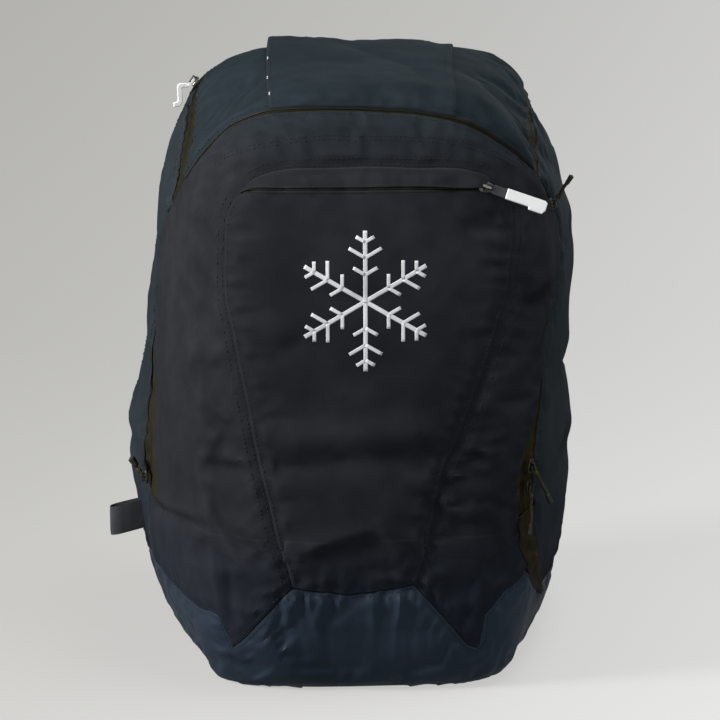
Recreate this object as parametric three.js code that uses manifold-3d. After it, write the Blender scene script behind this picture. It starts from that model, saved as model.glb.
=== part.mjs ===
// Ski boot backpack: a stuffed, domed shell on a tarpaulin tub, with a lid that lifts back, a
// front flap that folds forward, zips on curved seams, an outer pocket, and a harness on the back.
// Units are millimetres, +Z is up, the wearer's back is on +Y (so the bag's front faces -Y and its
// left is -X), and the origin is on the ground at the centre of the footprint.
import * as THREE from "three";
import { mergeVertices } from "three/addons/utils/BufferGeometryUtils.js";
import Module from "manifold-3d";

const wasm = await Module();
wasm.setup();

const { clamp } = THREE.MathUtils;
const vec = (x, y, z) => new THREE.Vector3(x, y, z);
const toVec = ([x, y, z]) => vec(x, y, z); // takes an array or another vector
const steps = (n) => Array.from({ length: n + 1 }, (_, i) => i / n);
const mix = (a, b, t) => a + (b - a) * t;

// ---------------------------------------------------------------- driving dimensions
const WALL = 4; // padded fabric wall
const BACK_WALL = 8; // foam-filled back panel
const SEAM = 0.8; // half of the gap left between two sewn panels
const ZIP = 5.6; // half of the slot that a zip fills
const HINGE_Z = 128; // height of the fold under the front flap
const REAR_Y = 112; // plane of the rear seam and of the lid's fold
const CORNER = 16; // length over which a panel's edge bends into its corner
const FACET = 30; // longest step along the tub's edge
const SHELF_Z = 338; // underside of the helmet shelf
const POCKET_Z = 416; // height of the pocket's opening
const TUB_REAR_Z = 62; // height of the tub's level rear edge
const MID_Z = 250;
const CENTRE = vec(0, 0, MID_Z); // the surface is seen from here

// ---------------------------------------------------------------- outer surface
// Half widths at the rear and the front, by height.
const WIDTH_Z = [0, 50, 110, 170, 230, 290, 340, 400, 450];
const REAR_LEFT_W = [166, 181, 190, 191, 180, 175, 169, 161, 150];
const REAR_RIGHT_W = [166, 185, 193, 192, 187, 190, 189, 177, 162];
const FRONT_W = [100, 112, 120, 124, 127, 130, 131, 130, 130];
// Distance of the front face forward of the origin, by height.
const FRONT_Z = [0, 50, 120, 200, 280, 360, 430, 480, 520];
const FRONT_DEPTH = [126, 138, 149, 153, 151, 144, 131, 116, 100];
const BACK_Y = 132;
const SHOULDER_Z = 335; // the dome starts here
const TOP_Z = 502;
const TOP_DROP = { front: 16, back: 4 };
const WIDTH_POWER = 0.85; // how the width grows from front to back
const SIDE_SWELL = 7;
const FRONT_BOW = { halfWidth: 150, depth: 13 }; // the front face falls back by depth at halfWidth
// Exponent of the dome's cross-section: at the front, and what it gains towards the back.
const DOME_LEFT = { front: 2.8, gain: 1.6 };
const DOME_RIGHT = { front: 3.3, gain: 1.2 };
const BLEND = { front: 40, back: 26, ground: 15 }; // softness of each edge

// Cubic Hermite interpolation of values over keys.
function table(z, keys, values) {
  const last = keys.length - 1;
  z = clamp(z, keys[0], keys[last]);
  let i = 0;
  while (i < last - 1 && z >= keys[i + 1]) i++;
  const rise = (k) => (values[k + 1] - values[k]) / (keys[k + 1] - keys[k]);
  const slope = (k) => {
    if (k === 0) return rise(0);
    if (k === last) return rise(last - 1);
    return (rise(k - 1) + rise(k)) / 2;
  };
  const span = keys[i + 1] - keys[i];
  const t = (z - keys[i]) / span;
  return (
    (2 * t ** 3 - 3 * t ** 2 + 1) * values[i] +
    (t ** 3 - 2 * t ** 2 + t) * span * slope(i) +
    (-2 * t ** 3 + 3 * t ** 2) * values[i + 1] +
    (t ** 3 - t ** 2) * span * slope(i + 1)
  );
}

function softMax(a, b, blend) {
  const h = clamp(0.5 + (0.5 * (a - b)) / blend, 0, 1);
  return b + (a - b) * h + blend * h * (1 - h);
}

// Below zero inside the bag.
function field(x, y, z) {
  const frontY = -table(z, FRONT_Z, FRONT_DEPTH);
  const t = clamp((y - frontY) / (BACK_Y - frontY), 0, 1.05); // 0 at the front, 1 at the back
  const rearW = table(z, WIDTH_Z, x < 0 ? REAR_LEFT_W : REAR_RIGHT_W);
  const frontW = table(z, WIDTH_Z, FRONT_W);
  const swell = SIDE_SWELL * Math.sin(Math.PI * clamp(t, 0, 1));
  const halfWidth = frontW + (rearW - frontW) * t ** WIDTH_POWER + swell;

  const top = TOP_Z - TOP_DROP.front * (1 - t) ** 2 - TOP_DROP.back * t ** 2;
  const height = Math.max(0, (z - SHOULDER_Z) / (top - SHOULDER_Z));
  const dome = x < 0 ? DOME_LEFT : DOME_RIGHT;
  const n = dome.front + dome.gain * clamp((t - 0.45) / 0.5, 0, 1);
  const side = (((Math.abs(x) / halfWidth) ** n + height ** n) ** (1 / n) - 1) * halfWidth;

  const front = frontY + (Math.abs(x) / FRONT_BOW.halfWidth) ** 2 * FRONT_BOW.depth - y;
  const walls = softMax(softMax(side, front, BLEND.front), y - BACK_Y, BLEND.back);
  return softMax(walls, -z, BLEND.ground);
}

// Where the line pointAt(0) to pointAt(reach) leaves the bag.
function exitPoint(pointAt, reach) {
  let inside = 0;
  let outside = reach;
  for (let i = 0; i < 40; i++) {
    const middle = (inside + outside) / 2;
    const { x, y, z } = pointAt(middle);
    if (field(x, y, z) < 0) inside = middle;
    else outside = middle;
  }
  return pointAt(inside);
}

// The point of the surface seen from the centre in the direction of the given point.
function snap(point) {
  const direction = point.clone().sub(CENTRE).normalize();
  return exitPoint((m) => CENTRE.clone().addScaledVector(direction, m), 700);
}

function normalAt({ x, y, z }) {
  const e = 0.5;
  return vec(
    field(x + e, y, z) - field(x - e, y, z),
    field(x, y + e, z) - field(x, y - e, z),
    field(x, y, z + e) - field(x, y, z - e),
  ).normalize();
}

// Points of the surface by angle, on a level ring at height z and on an upright ring at depth y.
const ringZ = (z, angle) =>
  exitPoint((m) => vec(m * Math.cos(angle), m * Math.sin(angle), z), 400);
const ringY = (y, angle) =>
  exitPoint((m) => vec(m * Math.cos(angle), y, MID_Z + m * Math.sin(angle)), 500);
const rearAt = (x, z) => ringY(REAR_Y, Math.atan2(z - MID_Z, x));
const frontAt = (x, z) => exitPoint((m) => vec(x, -m, z), 300);
const topAt = (x, y) => exitPoint((m) => vec(x, y, 300 + m), 260);

// ---------------------------------------------------------------- paths on the surface
class Path {
  constructor(points) {
    this.points = points;
    this.distances = [0];
    for (let i = 1; i < points.length; i++)
      this.distances.push(this.distances[i - 1] + points[i].distanceTo(points[i - 1]));
    this.length = this.distances.at(-1);
  }
  // The point at fraction u of the length.
  at(u) {
    const { points, distances } = this;
    const d = clamp(u, 0, 1) * this.length;
    let i = 0;
    while (i < distances.length - 2 && d > distances[i + 1]) i++;
    const t = (d - distances[i]) / (distances[i + 1] - distances[i]);
    return points[i].clone().lerp(points[i + 1], t);
  }
  tangent(u) {
    return this.at(u + 0.004).sub(this.at(u - 0.004)).normalize();
  }
  part(from, to) {
    return new Path(steps(40).map((t) => this.at(mix(from, to, t))));
  }
  reversed() {
    return new Path([...this.points].reverse());
  }
  // Moved sideways along the surface, to the left of the path when seen from outside.
  moved(distance) {
    return new Path(
      this.points.map((point, i) => {
        const left = vec().crossVectors(normalAt(point), directionAt(this.points, i)).normalize();
        return snap(point.clone().addScaledVector(left, distance));
      }),
    );
  }
  // Each point's place as a fraction of the length.
  places() {
    return this.distances.map((d) => d / this.length);
  }
}

function directionAt(points, i) {
  const next = points[Math.min(i + 1, points.length - 1)];
  return next.clone().sub(points[Math.max(i - 1, 0)]).normalize();
}

function smooth(points, n = 60) {
  const curve = new THREE.CatmullRomCurve3(points.map(toVec), false, "centripetal");
  return new Path(curve.getSpacedPoints(n).map(snap));
}

const shifted = (points, distance) => new Path(points.map(snap)).moved(distance);

function subdivided(points, longest) {
  const out = [points[0].clone()];
  for (let i = 1; i < points.length; i++) {
    const n = Math.ceil(points[i].distanceTo(points[i - 1]) / longest);
    for (let k = 1; k <= n; k++) out.push(points[i - 1].clone().lerp(points[i], k / n));
  }
  return out;
}

// Zip lines, as x, y, z. The side zips run upwards, the arc from left to right over the front,
// and the lid zips from the arc's ends back to the rear seam.
const LEFT_ZIP = smooth([
  [-177, 32, 128], [-177, 33, 160], [-176, 38, 200], [-173, 42, 240],
  [-169, 38, 282], [-165, 22, 325], [-160, 2, 359], [-153, -21, 385],
]);
const ARC_ZIP = smooth([
  [-153, -21, 385], [-146, -39, 405], [-135, -57, 427], [-122, -73, 445],
  [-108, -82, 459], [-91, -90, 467], [-72, -97, 472], [-47, -103, 475],
  [-11, -106, 476], [25, -108, 474], [52, -109, 470], [72, -109, 465],
  [88, -108, 459], [107, -106, 448], [126, -98, 434], [142, -84, 417],
]);
const RIGHT_ZIP = smooth([
  [134, -117, 128], [132, -123, 156], [130, -126, 180], [133, -122, 200], [140, -112, 228],
  [145, -105, 262], [149, -92, 292], [156, -72, 318], [162, -52, 340], [164, -44, 362],
  [160, -50, 384], [152, -66, 402], [142, -84, 417],
]);
const REAR_LEFT = rearAt(-129.4, 471.8);
const REAR_RIGHT = rearAt(146.8, 462.7);
const LID_ZIP_LEFT = smooth([
  [-153, -21, 385], [-147, -10, 408], [-143, 2, 424], [-138, 28, 443], [-134.5, 66, 458.5],
  REAR_LEFT,
]);
const LID_ZIP_RIGHT = smooth([
  [142, -84, 417], [142.5, -60, 424], [142.6, -30, 434], [145, 24, 446.6], [146.7, 70, 456.3],
  REAR_RIGHT,
]);

// The tub's upper edge as x, y, z, from the left rear seam by the front to the right rear seam:
// peaks and dips across the front.
const TUB_EDGE = [
  rearAt(-172, TUB_REAR_Z),
  [-175, 75, 62], [-172, 32, 58], [-160, -15, 58], [-144, -62, 62], [-127, -107, 65],
  [-117, -119, 65], [-112, -119, 47], [-107, -118, 38], [-101, -124, 44], [-90, -133, 58],
  [-75, -140, 77], [-60, -144, 95], [-36, -145, 91], [-14, -145, 88], [15, -145, 92],
  [38, -145, 96], [49, -142, 84], [71, -136, 56], [83, -130, 41], [90, -127, 37],
  [94, -126, 46], [96, -132, 68], [112, -128, 85], [134, -110, 94], [143, -80, 80],
  [152, -40, 64], [165, 20, 61], [175, 75, 62],
  rearAt(174, TUB_REAR_Z),
].map(toVec);
// Points of that edge where the front skirt starts and where the right side panel starts.
const SKIRT_FROM = 2;
const RIGHT_FROM = 24;
const EDGE_LEFT = subdivided(TUB_EDGE.slice(0, SKIRT_FROM + 1), FACET);
const EDGE_FRONT = subdivided(TUB_EDGE.slice(SKIRT_FROM, RIGHT_FROM + 1), FACET);
const EDGE_RIGHT = subdivided(TUB_EDGE.slice(RIGHT_FROM), FACET);
// The level rest of the edge round the back, right to left, as x, y.
const EDGE_BACK = [
  TUB_EDGE.at(-1),
  ...[
    [172, 121], [165, 128], [154, 131.5], [135, 133], [90, 133], [45, 133], [0, 133],
    [-45, 133], [-90, 133], [-135, 133], [-154, 131.5], [-165, 128], [-171, 121],
  ].map(([x, y]) => vec(x, y, TUB_REAR_Z)),
  TUB_EDGE[0],
];

// Rear seam: a ring in an upright plane, its angles running from the right, over the top, to the
// left without a jump.
const seamAngle = ({ x, z }) =>
  ((Math.atan2(z - MID_Z, x) + 2.5 * Math.PI) % (2 * Math.PI)) - Math.PI / 2;
const SEAM_ANGLE = {
  lowRight: seamAngle(TUB_EDGE.at(-1)),
  topRight: seamAngle(REAR_RIGHT),
  topLeft: seamAngle(REAR_LEFT),
  lowLeft: seamAngle(TUB_EDGE[0]),
};
const rearSeam = (from, to, offsetY, n = 30) =>
  new Path(steps(n).map((t) => ringY(REAR_Y + offsetY, mix(SEAM_ANGLE[from], SEAM_ANGLE[to], t))));

// The fold under the front flap: a level line from the left zip's lower end, round the front, to
// the right one's.
const levelAngle = ({ x, y }) => ((Math.atan2(y, x) + 4 * Math.PI - 1) % (2 * Math.PI)) + 1;
const FOLD_FROM = levelAngle(LEFT_ZIP.at(0));
const FOLD_TO = levelAngle(RIGHT_ZIP.at(0));
const fold = (z) => new Path(steps(60).map((t) => ringZ(z, mix(FOLD_FROM, FOLD_TO, t))));

// ---------------------------------------------------------------- solids
function geometry(vertices, faces) {
  const positions = new Float32Array(faces.length * 9);
  faces.forEach((face, i) =>
    face.forEach((k, j) => vertices[k].toArray(positions, i * 9 + j * 3)),
  );
  const attribute = new THREE.BufferAttribute(positions, 3);
  return new THREE.BufferGeometry().setAttribute("position", attribute);
}

// A closed sheet: a grid of surface points (rows of equal length) given a thickness inwards, from
// `lift` above the surface. With wrap, each row closes on itself.
function sheet(grid, thickness, lift = 0, wrap = false) {
  const rows = grid.length;
  const columns = grid[0].length;
  const outer = [];
  const inner = [];
  for (const point of grid.flat()) {
    const normal = normalAt(point);
    outer.push(point.clone().addScaledVector(normal, lift));
    inner.push(point.clone().addScaledVector(normal, lift - thickness));
  }
  const N = outer.length;
  const faces = [];
  const quad = (a, b, c, d) => faces.push([a, b, c], [a, c, d]);
  const id = (r, c) => r * columns + (wrap ? c % columns : c);
  const spans = wrap ? columns : columns - 1;
  for (let r = 0; r < rows - 1; r++)
    for (let c = 0; c < spans; c++) {
      const [a, b, d, e] = [id(r, c), id(r, c + 1), id(r + 1, c + 1), id(r + 1, c)];
      quad(a, b, d, e);
      quad(N + a, N + e, N + d, N + b);
    }
  const last = rows - 1;
  for (let c = 0; c < spans; c++) {
    quad(id(0, c), N + id(0, c), N + id(0, c + 1), id(0, c + 1));
    quad(id(last, c), id(last, c + 1), N + id(last, c + 1), N + id(last, c));
  }
  if (!wrap) {
    const end = columns - 1;
    for (let r = 0; r < last; r++) {
      quad(id(r, 0), id(r + 1, 0), N + id(r + 1, 0), N + id(r, 0));
      quad(id(r, end), N + id(r, end), N + id(r + 1, end), id(r + 1, end));
    }
  }
  return geometry([...outer, ...inner], faces);
}

// Grid of surface points between four edges: low and high run the same way, from left to right,
// and left and right run from low to high. us and vs are the fractions across and up.
function between({ low, high, left, right }, us, vs) {
  const mid = (a, b) => a.clone().add(b).multiplyScalar(0.5);
  const p00 = mid(low.at(0), left.at(0));
  const p10 = mid(low.at(1), right.at(0));
  const p01 = mid(high.at(0), left.at(1));
  const p11 = mid(high.at(1), right.at(1));
  // An edge bent to its two corners over its last few millimetres.
  const fit = (path, start, end) => {
    const toStart = start.clone().sub(path.at(0));
    const toEnd = end.clone().sub(path.at(1));
    return (u) => path.at(u)
      .addScaledVector(toStart, Math.max(0, 1 - (u * path.length) / CORNER) ** 2)
      .addScaledVector(toEnd, Math.max(0, 1 - ((1 - u) * path.length) / CORNER) ** 2);
  };
  const lowAt = fit(low, p00, p10);
  const highAt = fit(high, p01, p11);
  const leftAt = fit(left, p00, p01);
  const rightAt = fit(right, p10, p11);
  const grid = vs.map((v) =>
    us.map((u) => snap(
      lowAt(u).multiplyScalar(1 - v).addScaledVector(highAt(u), v)
        .addScaledVector(leftAt(v), 1 - u).addScaledVector(rightAt(v), u)
        .addScaledVector(p00, -(1 - u) * (1 - v)).addScaledVector(p10, -u * (1 - v))
        .addScaledVector(p01, -(1 - u) * v).addScaledVector(p11, -u * v),
    )),
  );
  // Even the inner points out, so that no row crosses an edge.
  for (let pass = 0; pass < 80; pass++)
    for (let r = 1; r < grid.length - 1; r++)
      for (let c = 1; c < us.length - 1; c++)
        grid[r][c] = mid(
          mid(grid[r - 1][c], grid[r + 1][c]),
          mid(grid[r][c - 1], grid[r][c + 1]),
        );
  return grid.map((row) => row.map(snap));
}

function solid(source) {
  const bare = source.index ? source.toNonIndexed() : source.clone();
  for (const key of Object.keys(bare.attributes)) if (key !== "position") bare.deleteAttribute(key);
  const merged = mergeVertices(bare, 1e-3);
  return new wasm.Manifold(new wasm.Mesh({
    numProp: 3,
    vertProperties: merged.attributes.position.array,
    triVerts: new Uint32Array(merged.index.array),
  }));
}

function fromSolid(manifold) {
  const { numVert, numProp, vertProperties, triVerts } = manifold.getMesh();
  const positions = new Float32Array(numVert * 3);
  for (let i = 0; i < numVert; i++)
    positions.set(vertProperties.subarray(i * numProp, i * numProp + 3), i * 3);
  return new THREE.BufferGeometry()
    .setAttribute("position", new THREE.BufferAttribute(positions, 3))
    .setIndex(new THREE.BufferAttribute(triVerts, 1));
}

const union = (...parts) => fromSolid(parts.map(solid).reduce((a, b) => a.add(b)));
const minus = (body, ...cuts) =>
  fromSolid(cuts.map(solid).reduce((a, b) => a.subtract(b), solid(body)));

// A strip of rectangular section along a list of points. Its face is set by `normals`, one per
// point, or else its width by the single direction `across`.
function strip(points, { width, thick, across, normals }) {
  const vertices = [];
  points.forEach((point, i) => {
    const along = directionAt(points, i);
    const square = (v) => v.clone().addScaledVector(along, -v.dot(along)).normalize();
    let wide;
    let normal;
    if (normals) {
      normal = square(normals[i]);
      wide = vec().crossVectors(along, normal);
    } else {
      wide = square(across);
      normal = vec().crossVectors(wide, along);
    }
    for (const [w, n] of [[-1, -1], [1, -1], [1, 1], [-1, 1]])
      vertices.push(
        point.clone().addScaledVector(wide, (w * width) / 2).addScaledVector(normal, (n * thick) / 2),
      );
  });
  const faces = [];
  const end = (points.length - 1) * 4;
  for (let i = 0; i < end; i += 4)
    for (let k = 0; k < 4; k++) {
      const a = i + k;
      const b = i + ((k + 1) % 4);
      faces.push([a, b, b + 4], [a, b + 4, a + 4]);
    }
  faces.push([0, 2, 1], [0, 3, 2], [end, end + 1, end + 2], [end, end + 2, end + 3]);
  const built = geometry(vertices, faces);
  if (solid(built).volume() >= 0) return built;
  return geometry(vertices, faces.map(([a, b, c]) => [a, c, b]));
}

const box = (x, y, z, cx = 0, cy = 0, cz = 0) =>
  new THREE.BoxGeometry(x, y, z).translate(cx, cy, cz);

function rounded(w, h, r) {
  const x = w / 2 - r;
  const y = h / 2 - r;
  return new THREE.Shape()
    .moveTo(-x, -h / 2)
    .lineTo(x, -h / 2).absarc(x, -y, r, -Math.PI / 2, 0)
    .lineTo(w / 2, y).absarc(x, y, r, 0, Math.PI / 2)
    .lineTo(-x, h / 2).absarc(-x, y, r, Math.PI / 2, Math.PI)
    .lineTo(-w / 2, -y).absarc(-x, -y, r, Math.PI, 1.5 * Math.PI);
}

function polygon([first, ...rest]) {
  const shape = new THREE.Shape();
  shape.moveTo(...first);
  for (const corner of rest) shape.lineTo(...corner);
  shape.closePath();
  return shape;
}

const plate = (shape, depth, curveSegments = 4) =>
  new THREE.ExtrudeGeometry(shape, { depth, bevelEnabled: false, curveSegments });

// A plate with chamfered edges, within the same outline and depth.
const padded = (shape, depth, bevel, curveSegments = 2) =>
  new THREE.ExtrudeGeometry(shape, {
    depth: depth - 2 * bevel,
    bevelEnabled: true,
    bevelThickness: bevel,
    bevelSize: bevel,
    bevelOffset: -bevel,
    bevelSegments: 1,
    curveSegments,
  }).translate(0, 0, bevel);

// Stands a plate drawn in x and z upright, its thickness running from rearY towards -Y.
const upright = (flat, rearY) => flat.rotateX(Math.PI / 2).translate(0, rearY, 0);

// ---------------------------------------------------------------- materials
const material = (settings) => new THREE.MeshStandardMaterial(settings);
const MATERIALS = {
  fabric: material({ color: 0x23262d, roughness: 0.85 }),
  tarpaulin: material({ color: 0x152536, roughness: 0.42 }),
  zip: material({ color: 0x1d1b12, roughness: 0.7 }),
  white: material({ color: 0xf2f2f0, roughness: 0.4 }),
  black: material({ color: 0x121212, roughness: 0.5 }),
  metal: material({ color: 0x4a4438, roughness: 0.35, metalness: 0.9 }),
  webbing: material({ color: 0x2b2d31, roughness: 0.8 }),
  mesh: material({ color: 0x1b1d22, roughness: 0.95 }),
  lining: material({ color: 0x4b5058, roughness: 0.9 }),
  board: material({ color: 0x2a2a2c, roughness: 0.6 }),
  cord: material({ color: 0x26240f, roughness: 0.75 }),
};

// ---------------------------------------------------------------- groups
const bag = new THREE.Group();
const joints = {}; // pivots, axes and travels of the moving parts
bag.userData.joints = joints;

function addGroup(name, parent = bag) {
  const group = new THREE.Group();
  group.name = name;
  parent.add(group);
  return group;
}
function add(parent, name, shape, meshMaterial) {
  const mesh = new THREE.Mesh(shape, meshMaterial);
  mesh.name = name;
  parent.add(mesh);
  return mesh;
}
const shell = addGroup("shell");
const flap = addGroup("front_flap");
const lid = addGroup("lid");

// ---------------------------------------------------------------- tub and base board
const EYELET = { x: 78, y: 20, inner: 5, outer: 9, low: 0.6, high: 3.4 };
const EYELET_XS = [-EYELET.x, EYELET.x];

function tubGrid() {
  const ring = [
    ...EDGE_LEFT, ...EDGE_FRONT.slice(1), ...EDGE_RIGHT.slice(1), ...EDGE_BACK.slice(1, -1),
  ];
  const edge = shifted([ring.at(-1), ...ring, ring[0]], -SEAM).points.slice(1, -1);
  const down = vec(0, 0, -1);
  // Each ring is a fraction of the angle from straight down to the edge.
  return [0.2, 0.55, 0.7, 0.77, 0.84, 0.92, 1].map((r) =>
    edge.map((point) => {
      // Lower rings follow a level line, so the dips stay near the edge.
      const level = snap(vec(point.x, point.y, 58));
      const toEdge = level.lerp(point, r ** 4).sub(CENTRE).normalize();
      const angle = Math.acos(toEdge.dot(down));
      const direction = down.clone()
        .multiplyScalar(Math.sin((1 - r) * angle) / Math.sin(angle))
        .addScaledVector(toEdge, Math.sin(r * angle) / Math.sin(angle));
      const p = snap(CENTRE.clone().add(direction));
      if (p.z < 1.2) p.z = 0;
      return p;
    }),
  );
}

function addBaseTub() {
  const grid = tubGrid();
  const wall = sheet(grid, WALL, 0, true);
  // Flatten the bottom above and below, where the lowest ring meets the disc.
  const positions = wall.attributes.position;
  for (let i = 0; i < positions.count; i++) {
    const z = positions.getZ(i);
    const radius = Math.hypot(positions.getX(i), positions.getY(i));
    if (z < 0.001) positions.setZ(i, 0);
    else if (Math.abs(z - WALL) < 1 && radius < 95) positions.setZ(i, WALL);
  }
  const overlap = 1.02;
  const disc = plate(polygon(grid[0].map(({ x, y }) => [x * overlap, y * overlap])), WALL);
  const holeRadius = EYELET.outer + 0.4;
  const holes = EYELET_XS.map((x) =>
    new THREE.CylinderGeometry(holeRadius, holeRadius, 30, 16)
      .rotateX(Math.PI / 2)
      .translate(x, EYELET.y, 0),
  );
  add(shell, "base_tub", minus(union(wall, disc), ...holes), MATERIALS.tarpaulin);
}

function addEyelet(side, x) {
  const { inner, outer, low, high } = EYELET;
  const profile = [[inner, low], [outer, low], [outer, high], [inner, high], [inner, low]];
  const shape = new THREE.LatheGeometry(profile.map((p) => new THREE.Vector2(...p)), 16);
  add(shell, `drain_eyelet_${side}`, shape.rotateX(Math.PI / 2), MATERIALS.metal)
    .position.set(x, EYELET.y, 0);
}

function addBaseBoard() {
  const shape = polygon([
    [-66, -90], [66, -90], [92, -70], [126, 50], [124, 92], [-124, 92], [-126, 50], [-92, -70],
  ]);
  for (const x of EYELET_XS)
    shape.holes.push(new THREE.Path().absarc(x, EYELET.y, 12, 0, 2 * Math.PI, true));
  add(shell, "base_board", plate(shape, 2.4, 8), MATERIALS.board).position.z = WALL + 2.6;
}

addBaseTub();
addEyelet("left", -EYELET.x);
addEyelet("right", EYELET.x);
addBaseBoard();

// ---------------------------------------------------------------- panels
// Edges are trimmed by small fractions of their length, to stop at the neighbouring edge.
function addFrontSkirt() {
  const low = shifted(EDGE_FRONT, 1.5 * SEAM);
  const high = fold(HINGE_Z - SEAM);
  const left = new Path([low.at(0), high.at(0)]);
  const right = new Path([low.at(1), high.at(1)]);
  const grid = between({ low, high, left, right }, low.places(), steps(2));
  add(shell, "front_skirt", sheet(grid, WALL), MATERIALS.fabric);
}

function addFrontPanel() {
  const grid = between({
    low: fold(HINGE_Z + SEAM).part(0.012, 0.988),
    high: ARC_ZIP.moved(-ZIP).part(0.006, 0.994),
    left: LEFT_ZIP.moved(-ZIP),
    right: RIGHT_ZIP.moved(ZIP),
  }, steps(18), steps(14));
  add(flap, "front_panel", sheet(grid, WALL), MATERIALS.fabric);
}

function addLidPanel() {
  const grid = between({
    low: ARC_ZIP.moved(ZIP).part(0.022, 0.978),
    high: rearSeam("topLeft", "topRight", 0, 24).moved(-SEAM).part(0.02, 0.98),
    left: LID_ZIP_LEFT.moved(-ZIP).part(0.04, 0.995),
    right: LID_ZIP_RIGHT.moved(ZIP).part(0.04, 0.995),
  }, steps(18), steps(8));
  add(lid, "lid_panel", sheet(grid, WALL), MATERIALS.fabric);
}

// Raised padded panel down the middle of the lid.
function addLidPad() {
  const [frontLeft, frontRight] = [vec(-70, -84, 0), vec(72, -82, 0)];
  const [rearRight, rearLeft] = [vec(82, 104, 0), vec(-68, 104, 0)];
  const grid = steps(6).map((v) => {
    const left = frontLeft.clone().lerp(rearLeft, v);
    const right = frontRight.clone().lerp(rearRight, v);
    return steps(8).map((u) => topAt(mix(left.x, right.x, u), mix(left.y, right.y, u)));
  });
  add(lid, "lid_centre_pad", sheet(grid, 4.6, 6), MATERIALS.fabric);
}

function addRightPanel() {
  const lowFrom = 0.012;
  const low = shifted(EDGE_RIGHT, SEAM);
  const grid = between({
    low,
    high: LID_ZIP_RIGHT.moved(-ZIP).part(0.05, 1),
    left: new Path([low.at(lowFrom), ...RIGHT_ZIP.moved(-ZIP).points]).part(0, 0.985),
    right: rearSeam("lowRight", "topRight", -SEAM).part(0.002, 0.985),
  }, [lowFrom, ...low.places().slice(1)], steps(14));
  add(shell, "side_panel_right", sheet(grid, WALL), MATERIALS.fabric);
}

function addLeftPanel() {
  const lowTo = 0.985;
  const low = shifted(EDGE_LEFT, SEAM);
  const grid = between({
    low,
    high: LID_ZIP_LEFT.moved(ZIP).reversed().part(0, 0.97),
    left: rearSeam("lowLeft", "topLeft", -SEAM).part(0.002, 0.985),
    right: new Path([low.at(lowTo), ...LEFT_ZIP.moved(ZIP).points]).part(0, 0.985),
  }, [...low.places().slice(0, -1), lowTo], steps(14));
  add(shell, "side_panel_left", sheet(grid, WALL), MATERIALS.fabric);
}

// Back panel with the strip that turns over the top, behind the rear seam.
function addBackPanel() {
  const low = shifted(EDGE_BACK, SEAM);
  const grid = between({
    low,
    high: rearSeam("topRight", "topLeft", SEAM),
    left: rearSeam("lowRight", "topRight", SEAM).part(0.002, 1),
    right: rearSeam("lowLeft", "topLeft", SEAM).part(0.002, 1),
  }, low.places(), [0, 0.25, 0.5, 0.75, 0.87, 0.92, 0.96, 1]);
  add(shell, "back_panel", sheet(grid, BACK_WALL), MATERIALS.fabric);
}

addFrontSkirt();
addFrontPanel();
addLidPanel();
addLidPad();
addRightPanel();
addLeftPanel();
addBackPanel();

// ---------------------------------------------------------------- inside
function addFrameSheet() {
  const frontY = 119;
  const thick = 2;
  const outline = polygon([
    [-128, 14], [128, 14], [140, 60], [146, 200], [138, 380],
    [112, 448], [-112, 448], [-138, 380], [-144, 200], [-138, 60],
  ]);
  add(shell, "frame_sheet", upright(plate(outline, thick), frontY + thick), MATERIALS.board);
}

function addBootDivider() {
  const baseZ = 14;
  const height = 316;
  const wall = box(5, 226, height, 0, -4, baseZ + height / 2);
  add(shell, "boot_divider", wall, MATERIALS.lining);
}

function addHelmetShelf() {
  const outline = polygon([
    [-104, -118], [104, -118], [136, -30], [150, 60],
    [150, 110], [-146, 110], [-146, 60], [-130, -30],
  ]);
  add(shell, "helmet_shelf", plate(outline, 5), MATERIALS.lining).position.z = SHELF_Z;
}

addFrameSheet();
addBootDivider();
addHelmetShelf();

// ---------------------------------------------------------------- zips
// Section of half a zip, how far it lies beside the zip line, and how deep its middle lies.
const ZIP_HALF = { width: 3, thick: 2.2, side: 2.3, depth: 3.4 };

// side is 1 on the left of the line when seen from outside, -1 on its right.
function zipHalf(line, side, n) {
  const moved = line.moved(side * ZIP_HALF.side);
  const points = steps(n).map((u) => moved.at(u));
  const normals = points.map(normalAt);
  const sunk = points.map((p, i) => p.clone().addScaledVector(normals[i], -ZIP_HALF.depth));
  return strip(sunk, { width: ZIP_HALF.width, thick: ZIP_HALF.thick, normals });
}

// Group, name, line, start and end along the line, side of it, segments.
const ZIP_HALVES = [
  [flap, "side_zip_left_flap_half", LEFT_ZIP, 0.012, 0.985, -1, 18],
  [shell, "side_zip_left_body_half", LEFT_ZIP, 0.012, 0.985, 1, 18],
  [flap, "side_zip_right_flap_half", RIGHT_ZIP, 0.012, 0.985, 1, 24],
  [shell, "side_zip_right_body_half", RIGHT_ZIP, 0.012, 0.985, -1, 24],
  [flap, "arc_zip_flap_half", ARC_ZIP, 0.015, 0.985, -1, 24],
  [lid, "arc_zip_lid_half", ARC_ZIP, 0.03, 0.97, 1, 24],
  [lid, "lid_zip_left_lid_half", LID_ZIP_LEFT, 0.04, 0.985, -1, 10],
  [shell, "lid_zip_left_body_half", LID_ZIP_LEFT, 0.04, 0.985, 1, 10],
  [lid, "lid_zip_right_lid_half", LID_ZIP_RIGHT, 0.05, 0.985, 1, 12],
  [shell, "lid_zip_right_body_half", LID_ZIP_RIGHT, 0.05, 0.985, -1, 12],
];
for (const [parent, name, line, from, to, side, n] of ZIP_HALVES)
  add(parent, name, zipHalf(line.part(from, to), side, n), MATERIALS.zip);

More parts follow.
